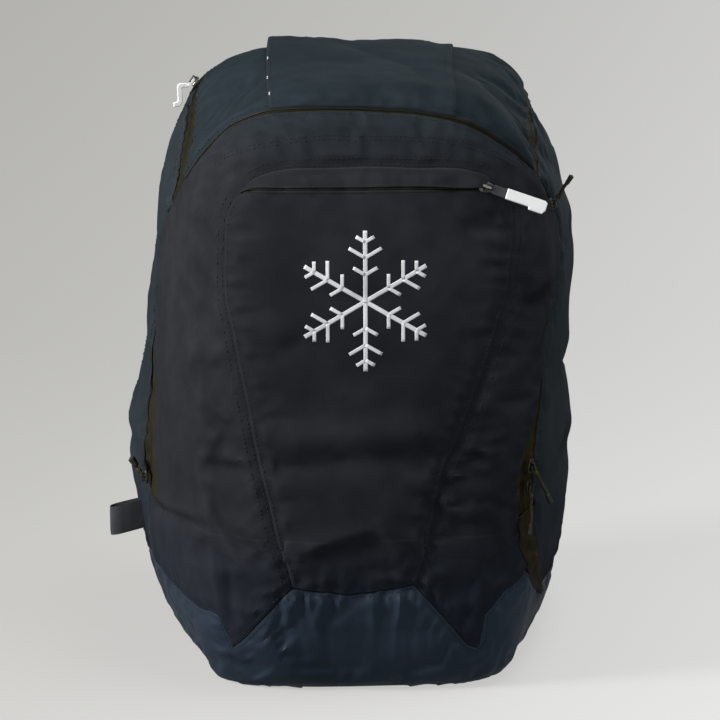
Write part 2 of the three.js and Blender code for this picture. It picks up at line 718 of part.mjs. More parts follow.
// Wide end of the right side zip, sewn flat over skirt, tub and side panel.
function addZipTail() {
  const line = smooth([[134, -117, 124], [137, -105, 106], [143, -78, 84], [150, -44, 62]], 30);
  const points = steps(6).map((u) => line.at(u));
  const normals = points.map(normalAt);
  const raised = points.map((p, i) => p.clone().addScaledVector(normals[i], 1.5));
  const tail = strip(raised, { width: 15, thick: 1.6, normals });
  add(shell, "side_zip_right_tail", tail, MATERIALS.zip);
}
addZipTail();

// ---------------------------------------------------------------- front pocket
// The pocket's side edges from bottom to top, as x, z.
const POCKET_LEFT = [
  [-68, 132], [-74, 150], [-84, 190], [-94, 240], [-103, 285],
  [-110, 320], [-113, 350], [-111, 391], [-104, 402], [-91, 409],
];
const POCKET_RIGHT = [
  [46, 132], [52, 165], [63, 200], [79, 240], [92, 275],
  [105, 315], [111, 350], [114, 385], [112, 399], [104, 409],
];

function addPocketPanel() {
  const left = new Path(POCKET_LEFT.map(([x, z]) => frontAt(x, z)));
  const right = new Path(POCKET_RIGHT.map(([x, z]) => frontAt(x, z)));
  const line = (a, b) =>
    new Path(steps(20).map((u) => frontAt(mix(a.x, b.x, u), mix(a.z, b.z, u))));
  const low = line(left.at(0), right.at(0));
  const high = line(left.at(1), right.at(1));
  const grid = between({ low, high, left, right }, steps(10), steps(11));
  add(flap, "pocket_panel", sheet(grid, 1.8, 3.4), MATERIALS.fabric);
}

// A level band on the front face, n facets long.
const frontBand = ({ left, width, low, height, n }) =>
  steps(1).map((v) => steps(n).map((u) => frontAt(left + width * u, low + height * v)));

addPocketPanel();
const zipFlapBand = frontBand({ left: -97, width: 184, low: POCKET_Z + 6.4, height: 13, n: 10 });
add(flap, "pocket_zip_flap", sheet(zipFlapBand, 1.6, 3), MATERIALS.fabric);
const zipChainBand = frontBand({ left: -95, width: 196, low: POCKET_Z - 2.2, height: 4.4, n: 16 });
add(flap, "pocket_zip_chain", sheet(zipChainBand, 1, 1.32), MATERIALS.zip);

// ---------------------------------------------------------------- sliders and pulls
const PULL_AXIS_Z = 3.4; // height of a pull's turning axis in its slider

// Frame on the surface: x towards `along`, z out of the bag.
function frameAt(point, along, lift) {
  const normal = normalAt(point);
  const x = along.clone().addScaledVector(normal, -along.dot(normal)).normalize();
  const y = vec().crossVectors(normal, x);
  return new THREE.Matrix4()
    .makeBasis(x, y, normal)
    .setPosition(point.clone().addScaledVector(normal, lift));
}

// Slider body along x. The arch over it stands across the pull's eye, which turns in its window.
const sliderBody = () => padded(polygon([
  [-5.5, -2.6], [-2, -4], [4, -3.4], [6, -1.6], [6, 1.6], [4, 3.4], [-2, 4], [-5.5, 2.6],
]), 2.2, 0.5);
const sliderArch = () => minus(box(7, 1.8, 4, 0, 0, 3.6), box(4.2, 3, 2.4, 0, 0, PULL_AXIS_Z));
// The eye: its near bar lies on the turning axis (y), and the pull runs on towards +x.
const eye = (thick) => minus(box(7.6, 6.4, thick, 2.9, 0, 0), box(4.4, 3.8, 4, 2.8, 0, 0));

function cordPull(length, knobRadius) {
  const from = 6;
  const cord = new THREE.CylinderGeometry(1.2, 1.2, length, 6)
    .rotateZ(Math.PI / 2)
    .translate(from + length / 2, 0, 0);
  const knob = new THREE.CylinderGeometry(knobRadius, knobRadius * 0.8, 7, 6)
    .rotateZ(Math.PI / 2)
    .translate(from + length, 0, 0);
  return union(eye(1.2), cord, knob);
}

// The circle through three points, and the angle from the first to the last.
function circle(a, b, c) {
  const ab = b.clone().sub(a);
  const ac = c.clone().sub(a);
  const axis = vec().crossVectors(ab, ac);
  const twice = 2 * axis.lengthSq();
  const centre = a.clone()
    .addScaledVector(vec().crossVectors(axis, ab), ac.lengthSq() / twice)
    .addScaledVector(vec().crossVectors(ac, axis), ab.lengthSq() / twice);
  axis.normalize();
  const first = a.clone().sub(centre);
  const last = c.clone().sub(centre);
  const angle = Math.atan2(vec().crossVectors(first, last).dot(axis), first.dot(last));
  return { centre, axis, angle, radius: first.length() };
}

// A slider's travel as a turn about a circle's axis. worst is its greatest distance from the
// path, low its deepest place under the surface.
function travel(path, from, to) {
  const { centre, axis, angle, radius } =
    circle(path.at(from), path.at((from + to) / 2), path.at(to));
  let worst = 0;
  let low = 0;
  for (const t of steps(12)) {
    const turned = path.at(from).sub(centre).applyAxisAngle(axis, angle * t).add(centre);
    const gaps = steps(200).map((u) => path.at(u).distanceTo(turned));
    worst = Math.max(worst, Math.min(...gaps));
    low = Math.min(low, turned.distanceTo(CENTRE) - snap(turned).distanceTo(CENTRE));
  }
  return {
    centre: centre.toArray(),
    axis: axis.toArray(),
    deg: THREE.MathUtils.radToDeg(angle),
    r: radius,
    worst,
    low,
    length: Math.abs(to - from) * path.length,
  };
}

// A slider parked at `from` on the path, able to run to `to`. It points along `along`; its pull
// lies towards pullDir, tilted off the surface by `tilt` radians.
function addSlider(parent, key, options) {
  const { path, from, to, along, pullDir, pull, pullMaterial, tilt, lift = 1.1 } = options;
  const point = path.at(from);
  const frame = frameAt(point, along, lift);
  const pullSide = frameAt(point, pullDir, lift);
  const [flat, side, normal] = [vec(), vec(), vec()];
  pullSide.extractBasis(flat, side, normal);

  const group = addGroup(`${key}_slider`, parent);
  const arch = sliderArch().applyMatrix4(frame.clone().invert().multiply(pullSide));
  add(group, `${key}_slider`, union(sliderBody(), arch), MATERIALS.metal).applyMatrix4(frame);

  const outward = flat.clone()
    .multiplyScalar(Math.cos(tilt))
    .addScaledVector(normal, Math.sin(tilt));
  const at = point.clone().addScaledVector(normal, lift + PULL_AXIS_Z);
  const pullFrame = new THREE.Matrix4()
    .makeBasis(outward, side, vec().crossVectors(outward, side))
    .setPosition(at);
  add(group, `${key}_pull`, pull, pullMaterial).applyMatrix4(pullFrame);

  joints[key] = {
    at: at.toArray(),
    side: side.toArray(),
    n: normal.toArray(),
    dir: outward.toArray(),
  };
  joints[`${key}_travel`] = travel(path, from, to);
  return { group, pullFrame };
}

// Pocket: straight zip, slider parked at its right end, black leader and white bar.
function addPocketSlider() {
  const { group, pullFrame } = addSlider(flap, "pocket", {
    path: new Path(steps(60).map((u) => frontAt(93 - 183 * u, POCKET_Z))),
    from: 0,
    to: 1,
    along: vec(-1, 0, 0),
    pullDir: vec(1, 0, -0.36),
    pull: union(eye(1.4), box(10, 7.4, 1.4, 11, 0, 0)),
    pullMaterial: MATERIALS.black,
    tilt: 0.16,
    lift: 4,
  });
  const thick = 2.6;
  const bar = padded(polygon([
    [16.6, -4.2], [36, -4.2], [37, -6.4], [48, -6.4],
    [50, -3.2], [50, 3], [48, 4.4], [16.6, 4.4],
  ]), thick, 0.5).translate(0, 0, -thick / 2);
  add(group, "pocket_pull_bar", bar, MATERIALS.white).applyMatrix4(pullFrame);
}

// Lid: left zip, slider parked at its rear end, white hooked pull.
function addLidSlider() {
  // The hook stands on edge: its stem and turned end lie in the plane that the pull swings in.
  const thick = 4.4;
  const stem = padded(polygon([
    [5.2, -0.7], [6.6, -0.7], [8.4, 0.2], [10, 2.4], [11.6, 3.2], [13.2, 1.6],
    [20.6, -5], [24.4, -5.4], [28.4, -1.8], [26, 0.8], [23.4, -1.2], [22, -1],
    [15.4, 5.2], [12.4, 7.4], [9.6, 7], [7.2, 4.6], [5.2, 0.8],
  ]), thick, 0.5).translate(0, 0, -thick / 2).rotateX(Math.PI / 2);
  const from = 0.93;
  addSlider(lid, "lid", {
    path: LID_ZIP_LEFT,
    from,
    to: 0.3,
    along: LID_ZIP_LEFT.tangent(from).negate(),
    pullDir: vec(-0.6, -0.1, -0.8),
    pull: union(eye(1.6), stem),
    pullMaterial: MATERIALS.white,
    tilt: 0.06,
  });
}

addPocketSlider();
addLidSlider();

// Sliders with cord pulls: one at the right zip's top corner, a pair near its lower end, and one
// at the left zip's lower end. Columns: key, path, from, to, heading along the path (1 or -1),
// pull direction, cord length, knob radius, tilt.
const CORD_SLIDERS = [
  ["top_right", RIGHT_ZIP, 0.88, 0.76, 1, [0.5, -0.1, 0.8], 17, 2.1, 0.75],
  ["upper_right", RIGHT_ZIP, 0.185, 0.38, 1, [0.34, 0.2, -1], 25, 2.4, 0.3],
  ["lower_right", RIGHT_ZIP, 0.133, 0.04, -1, [-0.2, -0.1, -1], 28, 2.1, 0.14],
  ["left", LEFT_ZIP, 0.045, 0.4, 1, [-0.1, 0.2, 1], 9, 3.2, 0.5],
];
for (const [key, path, from, to, heading, pullDir, length, knob, tilt] of CORD_SLIDERS)
  addSlider(flap, key, {
    path,
    from,
    to,
    along: path.tangent(from).multiplyScalar(heading),
    pullDir: toVec(pullDir),
    pull: cordPull(length, knob),
    pullMaterial: MATERIALS.cord,
    tilt,
  });

// ---------------------------------------------------------------- ski loop, haul handle
// Folded webbing, open at top and bottom, standing out of the left side.
function addSkiLoop() {
  const middleZ = 102;
  const height = 25;
  const fold = { x: 24, radius: 5.2 };
  const base = ringZ(middleZ, Math.atan2(64, -182));
  const out = normalAt(base).setZ(0).normalize();
  const across = vec(-out.y, out.x, 0);
  const origin = base.clone().addScaledVector(out, 3);
  const bend = steps(8).map((t) => {
    const angle = Math.PI * (t - 0.5);
    return [fold.x + fold.radius * Math.cos(angle), fold.radius * Math.sin(angle)];
  });
  const shape = polygon([[0, -2.6], ...bend, [0, 2.6]]);
  shape.holes.push(polygon([[6, 0.9], [23, 3.2], [26.6, 0], [23, -3.2], [6, -0.9]]));
  const frame = new THREE.Matrix4()
    .makeBasis(out, across, vec(0, 0, 1))
    .setPosition(vec(origin.x, origin.y, middleZ - height / 2));
  add(addGroup("ski_loop"), "ski_loop_left", plate(shape, height), MATERIALS.webbing)
    .applyMatrix4(frame);
  joints.ski_loop = { at: [origin.x, origin.y, middleZ], axis: [0, 0, 1], n: out.toArray() };
}

// Haul handle: a padded grip between two sewn ends, hanging on the back below the top edge.
function addHaulHandle() {
  const points = [
    [-38, 135.2, 478], [-37, 138, 472], [-32, 143, 464], [-22, 147, 458], [0, 148.5, 455],
    [22, 147, 458], [32, 143, 464], [37, 138, 472], [38, 135.2, 478],
  ].map(toVec);
  const normals = points.map(() => vec(0, 1, 0.4));
  const strap = strip(points, { width: 18, thick: 2, normals });
  const grip = box(36, 6.4, 18, 0, 148.4, 456);
  add(addGroup("haul_handle"), "haul_handle_strap", union(strap, grip), MATERIALS.webbing);
  joints.haul = { at: [0, 132, 480] };
}

addSkiLoop();
addHaulHandle();

// ---------------------------------------------------------------- back pads and harness
const PAD = { frontY: 132.4, thick: 11, bevel: 3, curveSegments: 3 };

function addBackPad(name, { x, z, width, height, corner }) {
  const flat = padded(rounded(width, height, corner), PAD.thick, PAD.bevel, PAD.curveSegments);
  add(shell, name, upright(flat, PAD.frontY + PAD.thick).translate(x, 0, z), MATERIALS.mesh);
}
addBackPad("back_pad_left", { x: -58, z: 285, width: 86, height: 230, corner: 24 });
addBackPad("back_pad_right", { x: 58, z: 285, width: 86, height: 230, corner: 24 });
addBackPad("lumbar_pad", { x: 0, z: 118, width: 210, height: 78, corner: 26 });

// Right-hand lines, top to bottom and bottom to top, as x, y, z. The left ones are mirrored in x.
const STRAP_LINE = [
  [38, 139.6, 440], [42, 146, 422], [47, 151.6, 402], [55, 157, 370],
  [66, 160, 330], [80, 161, 285], [92, 159, 240], [99, 155, 205],
];
const LOWER_WEBBING_LINE = [
  [139, 135.4, 84], [134, 139, 100], [122, 143, 130], [111, 146.4, 156], [105, 147.6, 169],
];
const STERNUM = { x: 61, y: 168, z: 348 }; // its slide on the shoulder strap
const WAIST = { x: 104, y: 145.8, z: 116 }; // root of the belt

// In the harness, s is -1 on the left and 1 on the right.
const mirrored = (line, s) => line.map(([x, y, z]) => vec(s * x, y, z));

function addShoulderStrap(group, side, s) {
  const line = mirrored(STRAP_LINE, s);
  const points = new THREE.CatmullRomCurve3(line).getSpacedPoints(12);
  const strap = strip(points, { width: 58, thick: 11, across: vec(1, 0, 0) });
  add(group, `shoulder_strap_${side}`, strap, MATERIALS.mesh);
  // Ladder lock under the strap's end.
  const end = line.at(-1);
  const lock = minus(box(32, 5, 26), box(25.4, 8, 5, 0, 0, 6), box(25.4, 8, 4, 0, 0, -3.4))
    .translate(end.x + s * 1.5, end.y - 1.5, end.z - 20);
  add(group, `ladder_lock_${side}`, lock, MATERIALS.black);
  joints[`strap_${side}`] = { at: [s * 38, 137, 443] };
}

// Webbing from the lower corner of the bag to the ladder lock.
function addLowerWebbing(side, s) {
  const points = mirrored(LOWER_WEBBING_LINE, s);
  const webbing = strip(points, { width: 25, thick: 1.8, across: vec(1, 0, 0.2) });
  add(shell, `lower_webbing_${side}`, webbing, MATERIALS.webbing);
}

// Sternum strap half on its own slide along the shoulder strap.
function addSternumHalf(strapGroup, side, s) {
  const group = addGroup(`sternum_${side}`, strapGroup);
  const { y, z } = STERNUM;
  const x = s * STERNUM.x;
  const points = [12, 24, 33].map((inward) => vec(x - s * inward, y, z));
  const webbing = strip(points, { width: 15, thick: 1.6, across: vec(0, 0, 1) });
  const slide = box(30, 3.2, 20, x, y, z);
  add(group, `sternum_strap_${side}`, union(slide, webbing), MATERIALS.webbing);
  const end = x - s * 33.6;
  if (s < 0) {
    const socket = minus(box(19, 7, 21, end + 9.5, y, z), box(13, 3.8, 15, end + 13.8, y, z));
    add(group, "sternum_buckle_socket", socket, MATERIALS.black);
  } else {
    const plug = union(
      box(8, 6, 20, end - 4, y, z),
      box(9, 2.8, 3.4, end - 11, y, z + 4.6),
      box(9, 2.8, 3.4, end - 11, y, z - 4.6),
      box(9, 2.4, 2, end - 11, y, z),
    );
    add(group, "sternum_buckle_plug", plug, MATERIALS.black);
  }
  const [above, below] = mirrored(STRAP_LINE.slice(3, 5), s);
  joints[`sternum_${side}`] = { dir: below.sub(above).normalize().toArray() };
}

// Waist belt half, folded in across the lumbar pad.
function addWaistHalf(side, s) {
  const group = addGroup(`waist_${side}`);
  const { x, y, z } = WAIST;
  const line = mirrored([[x, y, z], [80, y + 0.6, z], [52, y + 3, z], [34, y + 3.6, z]], s);
  const belt = strip(line, { width: 38, thick: 3, across: vec(0, 0, 1) });
  add(group, `waist_belt_${side}`, belt, MATERIALS.webbing);
  const end = s * 33.4;
  const buckleY = y + 3.6;
  if (s < 0) {
    const body = box(27, 10, 46, end + 13.5, buckleY, z);
    const socket = minus(body, box(19, 5.4, 34, end + 19.2, buckleY, z));
    add(group, "waist_buckle_socket", socket, MATERIALS.black);
  } else {
    const plug = union(
      box(12, 9, 44, end - 6, buckleY, z),
      box(14, 4, 7, end - 18, buckleY, z + 11),
      box(14, 4, 7, end - 18, buckleY, z - 11),
      box(14, 3, 4, end - 18, buckleY, z),
    );
    add(group, "waist_buckle_plug", plug, MATERIALS.black);
  }
  joints[`waist_${side}`] = { at: [s * x, y, z] };
}

for (const [side, s] of [["left", -1], ["right", 1]]) {
  const strapGroup = addGroup(`strap_${side}`);
  addShoulderStrap(strapGroup, side, s);
  addLowerWebbing(side, s);
  addSternumHalf(strapGroup, side, s);
  addWaistHalf(side, s);
}

export default bag;
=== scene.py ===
"""Ski boot backpack, stuffed full and standing on its base at z = 0.

The front faces -y, the back panel and straps +y; left is -x and right is +x.
Lengths are millimetres until a mesh is made. Everything is laid on one smooth surface,
`field`, and then stood off it by `relief`, which holds the creases and puckers.
"""
import math

import bmesh
import bpy
import numpy as np
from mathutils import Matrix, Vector
from mathutils.bvhtree import BVHTree

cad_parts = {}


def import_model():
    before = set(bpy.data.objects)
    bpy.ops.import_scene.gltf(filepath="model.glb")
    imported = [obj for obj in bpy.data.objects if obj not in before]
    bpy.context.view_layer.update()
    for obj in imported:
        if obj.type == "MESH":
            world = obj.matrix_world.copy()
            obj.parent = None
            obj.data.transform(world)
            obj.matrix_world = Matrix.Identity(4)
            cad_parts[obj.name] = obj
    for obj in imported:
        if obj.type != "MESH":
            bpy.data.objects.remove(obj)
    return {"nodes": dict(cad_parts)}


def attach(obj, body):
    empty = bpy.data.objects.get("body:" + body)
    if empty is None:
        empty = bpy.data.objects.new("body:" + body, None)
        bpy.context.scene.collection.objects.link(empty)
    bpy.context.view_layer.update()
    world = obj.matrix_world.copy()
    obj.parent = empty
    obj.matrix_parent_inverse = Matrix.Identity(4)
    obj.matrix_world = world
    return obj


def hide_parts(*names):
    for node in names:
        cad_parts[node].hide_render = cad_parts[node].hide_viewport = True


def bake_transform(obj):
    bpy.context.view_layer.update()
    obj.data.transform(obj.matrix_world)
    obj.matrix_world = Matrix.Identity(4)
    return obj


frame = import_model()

MM = 0.001
NODES = frame["nodes"]
vec = np.array


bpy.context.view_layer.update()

# ---------------------------------------------------------------- the stuffed surface
# Half widths of the bag by height: at the back on each side, and at the front.
WIDTH_Z = [0, 50, 110, 170, 230, 290, 340, 400, 450]
REAR_LEFT = [166, 181, 190, 191, 180, 175, 169, 161, 150]
REAR_RIGHT = [166, 185, 193, 192, 187, 190, 189, 177, 162]
FRONT_WIDTH = [100, 112, 120, 124, 127, 130, 131, 130, 130]
# How far the front stands out, by height.
DEPTH_Z = [0, 50, 120, 200, 280, 360, 430, 480, 520]
FRONT_DEPTH = [126, 138, 149, 153, 151, 144, 131, 116, 100]
BACK_Y = 132
SHOULDER_Z = 335  # the top starts to round off here
MID_Z = 250
CENTRE = vec([0.0, 0.0, MID_Z])
REAR_Y = 112  # the seam between the sides and the back panel
FOLD_Z = 128  # the line the front flap folds down about


def unit(vectors):
    return vectors / np.maximum(np.linalg.norm(vectors, axis=-1, keepdims=True), 1e-9)


def dot(first, second):
    return (first * second).sum(-1)


def xyz(text):
    """A table of points: rows of x y z, parted by commas."""
    return vec([row.split() for row in text.split(",")], float)


def smooth_table(z, keys, values):
    """Cubic interpolation in a table, with averaged slopes at its stations."""
    keys, values = vec(keys, float), vec(values, float)
    steps = np.diff(values) / np.diff(keys)
    slopes = np.r_[steps[0], (steps[1:] + steps[:-1]) / 2, steps[-1]]
    z = np.clip(z, keys[0], keys[-1])
    i = np.clip(np.searchsorted(keys, z, side="right") - 1, 0, len(keys) - 2)
    gap = keys[i + 1] - keys[i]
    t = (z - keys[i]) / gap
    return ((2 * t**3 - 3 * t**2 + 1) * values[i] + (t**3 - 2 * t**2 + t) * gap * slopes[i]
            + (-2 * t**3 + 3 * t**2) * values[i + 1] + (t**3 - t**2) * gap * slopes[i + 1])


def softmax(first, second, blend):
    share = np.clip(0.5 + 0.5 * (first - second) / blend, 0, 1)
    return second + (first - second) * share + blend * share * (1 - share)


def field(pos):
    """Negative inside the stuffed bag, positive outside."""
    x, y, z = pos[..., 0], pos[..., 1], pos[..., 2]
    front_y = -smooth_table(z, DEPTH_Z, FRONT_DEPTH)
    back = np.clip((y - front_y) / (BACK_Y - front_y), 0, 1.05)
    rear = np.where(x < 0, smooth_table(z, WIDTH_Z, REAR_LEFT),
                    smooth_table(z, WIDTH_Z, REAR_RIGHT))
    width = smooth_table(z, WIDTH_Z, FRONT_WIDTH)
    width = width + (rear - width) * back**0.85 + 7 * np.sin(np.pi * np.clip(back, 0, 1))
    top = 502 - 16 * (1 - back) ** 2 - 4 * back**2
    rise = np.clip((z - SHOULDER_Z) / (top - SHOULDER_Z), 0, None)
    squarer = np.clip((back - 0.45) / 0.5, 0, 1)
    power = np.where(x < 0, 2.8 + 1.6 * squarer, 3.3 + 1.2 * squarer)
    side = (((np.abs(x) / width) ** power + rise**power) ** (1 / power) - 1) * width
    front = (front_y + (np.abs(x) / 150) ** 2 * 13) - y
    return softmax(softmax(softmax(side, front, 40.0), y - BACK_Y, 26.0), -z, 15.0)


def cast(origin, direction, limit):
    """Where rays from inside the bag meet its surface; each of x, y and z may be an array."""
    parts = np.broadcast_arrays(*origin, *direction)
    start, way = np.stack(parts[:3], -1), np.stack(parts[3:], -1)
    inner = np.zeros(start.shape[:-1])
    outer = np.full(start.shape[:-1], float(limit))
    for _ in range(34):
        middle = (inner + outer) / 2
        inside = field(start + way * middle[..., None]) < 0
        inner = np.where(inside, middle, inner)
        outer = np.where(inside, outer, middle)
    return start + way * inner[..., None]


def snap(pos):
    """Moves points onto the surface along the ray from the centre."""
    way = unit(np.asarray(pos, float) - CENTRE)
    return cast(CENTRE, np.moveaxis(way, -1, 0), 700)


def normal(pos):
    steps = 0.8 * np.eye(3)
    return unit(np.stack([field(pos + step) - field(pos - step) for step in steps], -1))


def ring_z(z, angle):
    """Surface points at height z, by angle about the z axis."""
    return cast((0, 0, z), (np.cos(angle), np.sin(angle), 0), 400)


def ring_y(y, angle):
    """Surface points at depth y, by angle about the centre line from front to back."""
    return cast((0, y, MID_Z), (np.cos(angle), 0, np.sin(angle)), 500)


def front_at(x, z):
    return cast((x, 0, z), (0, -1, 0), 300)


def top_at(x, y):
    return cast((x, y, 300), (0, 0, 1), 260)


class Path:
    """A polyline, with the distance and the fraction (0 to 1) of its length at each point."""

    def __init__(self, points):
        self.pts = np.asarray(points, float)
        steps = np.linalg.norm(np.diff(self.pts, axis=0), axis=1)
        self.dist = np.r_[0, np.cumsum(steps)]
        self.length = self.dist[-1]
        self.frac = self.dist / self.length

    def at(self, frac):
        dist = np.clip(frac, 0, 1) * self.length
        return np.stack([np.interp(dist, self.dist, self.pts[:, k]) for k in range(3)], -1)

    def part(self, start, end, count=120):
        return Path(self.at(np.linspace(start, end, count + 1)))

    def reversed(self):
        return Path(self.pts[::-1])

    def tangent(self, frac):
        return unit(self.at(np.minimum(frac + 0.006, 1)) - self.at(np.maximum(frac - 0.006, 0)))

    def moved(self, shift):
        """The line moved sideways on the surface."""
        i = np.arange(len(self.pts))
        along = unit(self.pts[np.minimum(i + 1, len(i) - 1)] - self.pts[np.maximum(i - 1, 0)])
        side = unit(np.cross(normal(self.pts), along))
        return Path(snap(self.pts + side * (np.zeros(len(i)) + shift)[:, None]))


def curve(points, count=120, on_surface=True):
    """A centripetal Catmull-Rom curve through points, evenly spaced."""
    pts = np.asarray(points, float)
    padded = np.vstack([2 * pts[0] - pts[1], pts, 2 * pts[-1] - pts[-2]])
    t = np.linspace(0, 1, 30, endpoint=False)[:, None]
    rows = []
    for i in range(len(pts) - 1):
        p0, p1, p2, p3 = padded[i : i + 4]
        d0, d1, d2 = [max(np.sum((end - start) ** 2) ** 0.25, 1e-4)
                      for start, end in ((p0, p1), (p1, p2), (p2, p3))]
        slope1 = ((p1 - p0) / d0 - (p2 - p0) / (d0 + d1) + (p2 - p1) / d1) * d1
        slope2 = ((p2 - p1) / d1 - (p3 - p1) / (d1 + d2) + (p3 - p2) / d2) * d1
        rows.append(p1 + slope1 * t + (-3 * p1 + 3 * p2 - 2 * slope1 - slope2) * t**2
                    + (2 * p1 - 2 * p2 + slope1 + slope2) * t**3)
    even = Path(np.vstack(rows + [pts[-1:]])).at(np.linspace(0, 1, count + 1))
    return Path(snap(even) if on_surface else even)


# ---------------------------------------------------------------- lines on the surface
# The side zips run up from the fold; the arc zip joins their tops round the lid's front.
LEFT_SIDE = curve(xyz("""-177 32 128, -177 33 160, -176 38 200, -173 42 240, -169 38 282,
    -165 22 325, -160 2 359, -153 -21 385"""))
ARC = curve(xyz("""-153 -21 385, -146 -39 405, -135 -57 427, -122 -73 445, -108 -82 459,
    -91 -90 467, -72 -97 472, -47 -103 475, -11 -106 476, 25 -108 474, 52 -109 470,
    72 -109 465, 88 -108 459, 107 -106 448, 126 -98 434, 142 -84 417"""))
RIGHT_SIDE = curve(xyz("""134 -117 128, 132 -123 156, 130 -126 180, 133 -122 200,
    140 -112 228, 145 -105 262, 149 -92 292, 156 -72 318, 162 -52 340, 164 -44 362,
    160 -50 384, 152 -66 402, 142 -84 417"""))
# Where the zips beside the lid end, on the rear seam.
LID_REAR_LEFT = ring_y(REAR_Y, math.atan2(221.8, -129.4))
LID_REAR_RIGHT = ring_y(REAR_Y, math.atan2(212.7, 146.8))
WEDGE_LEFT = curve([*xyz("""-153 -21 385, -147 -10 408, -143 2 424, -138 28 443,
    -134.5 66 458.5"""), LID_REAR_LEFT])
WEDGE_RIGHT = curve([*xyz("""142 -84 417, 142.5 -60 424, 142.6 -30 434, 145 24 446.6,
    146.7 70 456.3"""), LID_REAR_RIGHT])
# The right zip's wide tail, below the fold.
TAIL = curve(xyz("132 -121 148, 133 -118 134, 135 -112 118, 138 -102 104, 143 -78 84, 150 -44 62"))
POCKET_LEFT = curve(xyz("""-59 -144 95, -64 -146 115, -70 -147 131, -78 -149 165,
    -87 -149 203, -94 -147 244, -101 -145 277, -107 -141 309, -112 -137 330,
    -114 -133 362, -111 -127 395, -101 -126 411"""))
POCKET_RIGHT = curve(xyz("""39 -145 95, 41 -146 106, 47 -148 126, 51 -150 145, 56 -151 173,
    61 -151 194, 69 -150 213, 78 -149 235, 87 -148 258, 96 -145 285, 105 -142 314,
    111 -138 333, 113 -134 359, 115 -128 386, 114 -125 400, 109 -125 409"""))
# Upper edge of the pocket's zip flap.
WELT = curve(xyz("""-99 -126 413.5, -88 -127 426, -65 -128 432, -30 -130 433.5, 6 -130 434,
    42 -130 433, 62 -129 433, 80 -128 431, 95 -126 425, 103 -125 416"""))
ARC_STITCH = curve(xyz("""-118 -98 431, -104 -108 443, -83 -115 450, -62 -119 454,
    -29 -121 457, 6 -122 457, 40 -122 456, 69 -120 452, 96 -116 442, 118 -108 428"""))


class ZipHalf:
    """The part of a zip's slot on one side of its line, with the body its tape moves with.

    Side is the sign of the sideways move. The half widths are given at heights, or at
    fractions of the line's length where by_height is False.
    """

    def __init__(self, path, side, body, stations, widths, by_height=False):
        self.path, self.side, self.body = path, side, body
        self.width = np.interp(path.pts[:, 2] if by_height else path.frac, stations, widths)
        self.shown = None  # the part of the edge that is piped, where not all of it is

    def edge(self, extra=0.0):
        return self.path.moved(self.side * (self.width + extra))


ARC_SLOT = ([0, 0.1, 0.22, 0.36, 0.5, 0.72, 0.82, 0.92, 1],
            [2.8, 3.3, 3.4, 2.5, 1.6, 1.6, 2.5, 2.9, 2.6])
RIGHT_Z = [128, 172, 190, 215, 250, 280, 330, 352, 375, 395, 414]
HALVES = {
    "left_flap": ZipHalf(LEFT_SIDE, -1, "front_flap", [128, 150, 200, 250, 290, 330, 385],
                         [64.0, 57.0, 37.0, 15.0, 5.5, 2.2, 2.0], True),
    "left_body": ZipHalf(LEFT_SIDE, 1, "shell", [128, 131, 138, 150, 200, 250, 290, 330, 385],
                         [0.4, 3.0, 8.0, 9.0, 6.5, 4.0, 2.2, 1.3, 1.6], True),
    "right_flap": ZipHalf(RIGHT_SIDE, 1, "front_flap", RIGHT_Z,
                          [11.5, 12, 10.5, 7.5, 3.6, 1.8, 1.2, 2.8, 6.0, 5.6, 3.2], True),
    "right_body": ZipHalf(RIGHT_SIDE, -1, "shell", RIGHT_Z,
                          [13, 13, 11, 7.0, 3.8, 2.0, 1.4, 2.2, 4.8, 4.2, 2.6], True),
    "arc_flap": ZipHalf(ARC, -1, "front_flap", *ARC_SLOT),
    "arc_lid": ZipHalf(ARC, 1, "lid", *ARC_SLOT),
    "wedge_left_lid": ZipHalf(WEDGE_LEFT, -1, "lid", [0, 0.08, 0.2, 0.35, 0.55, 0.8, 0.93, 1],
                              [35.0, 31.0, 22.0, 14.5, 10.5, 7.5, 5.5, 4.4]),
    "wedge_left_body": ZipHalf(WEDGE_LEFT, 1, "shell", [0, 0.12, 0.36, 0.6, 0.8, 0.93, 1],
                               [2.0, 4.6, 6.6, 6.2, 5.0, 3.8, 3.0]),
    "wedge_right_lid": ZipHalf(WEDGE_RIGHT, 1, "lid", [0, 0.1, 0.25, 0.4, 0.65, 0.85, 1],
                               [11.0, 14.0, 13.0, 9.5, 6.4, 3.8, 2.2]),
    "wedge_right_body": ZipHalf(WEDGE_RIGHT, -1, "shell", [0, 0.15, 0.4, 0.65, 0.85, 1],
                                [2.2, 5.2, 8.0, 7.0, 4.4, 2.2]),
}


def crossing(path1, path2, range1, range2):
    """Where two lines on the surface come closest, as fractions of each."""
    fracs1, fracs2 = np.linspace(*range1, 160), np.linspace(*range2, 160)
    gaps = np.linalg.norm(path1.at(fracs1)[:, None] - path2.at(fracs2)[None], axis=-1)
    i, j = np.unravel_index(np.argmin(gaps), gaps.shape)
    return float(fracs1[i]), float(fracs2[j])


# The lid's front corners, where its three zips' edges cross.
ARC_LID = HALVES["arc_lid"].edge()
LID_LEFT, WEDGE_LEFT_START = crossing(
    ARC_LID, HALVES["wedge_left_lid"].edge(), (0.03, 0.2), (0.0, 0.3))
LID_RIGHT, WEDGE_RIGHT_START = crossing(
    ARC_LID, HALVES["wedge_right_lid"].edge(), (0.85, 0.985), (0.0, 0.3))
HALVES["arc_lid"].shown = (LID_LEFT, LID_RIGHT)
HALVES["wedge_left_lid"].shown = (WEDGE_LEFT_START, 1)
HALVES["wedge_right_lid"].shown = (WEDGE_RIGHT_START, 1)


def rear_at(x, z):
    return ring_y(REAR_Y, math.atan2(z - MID_Z, x))


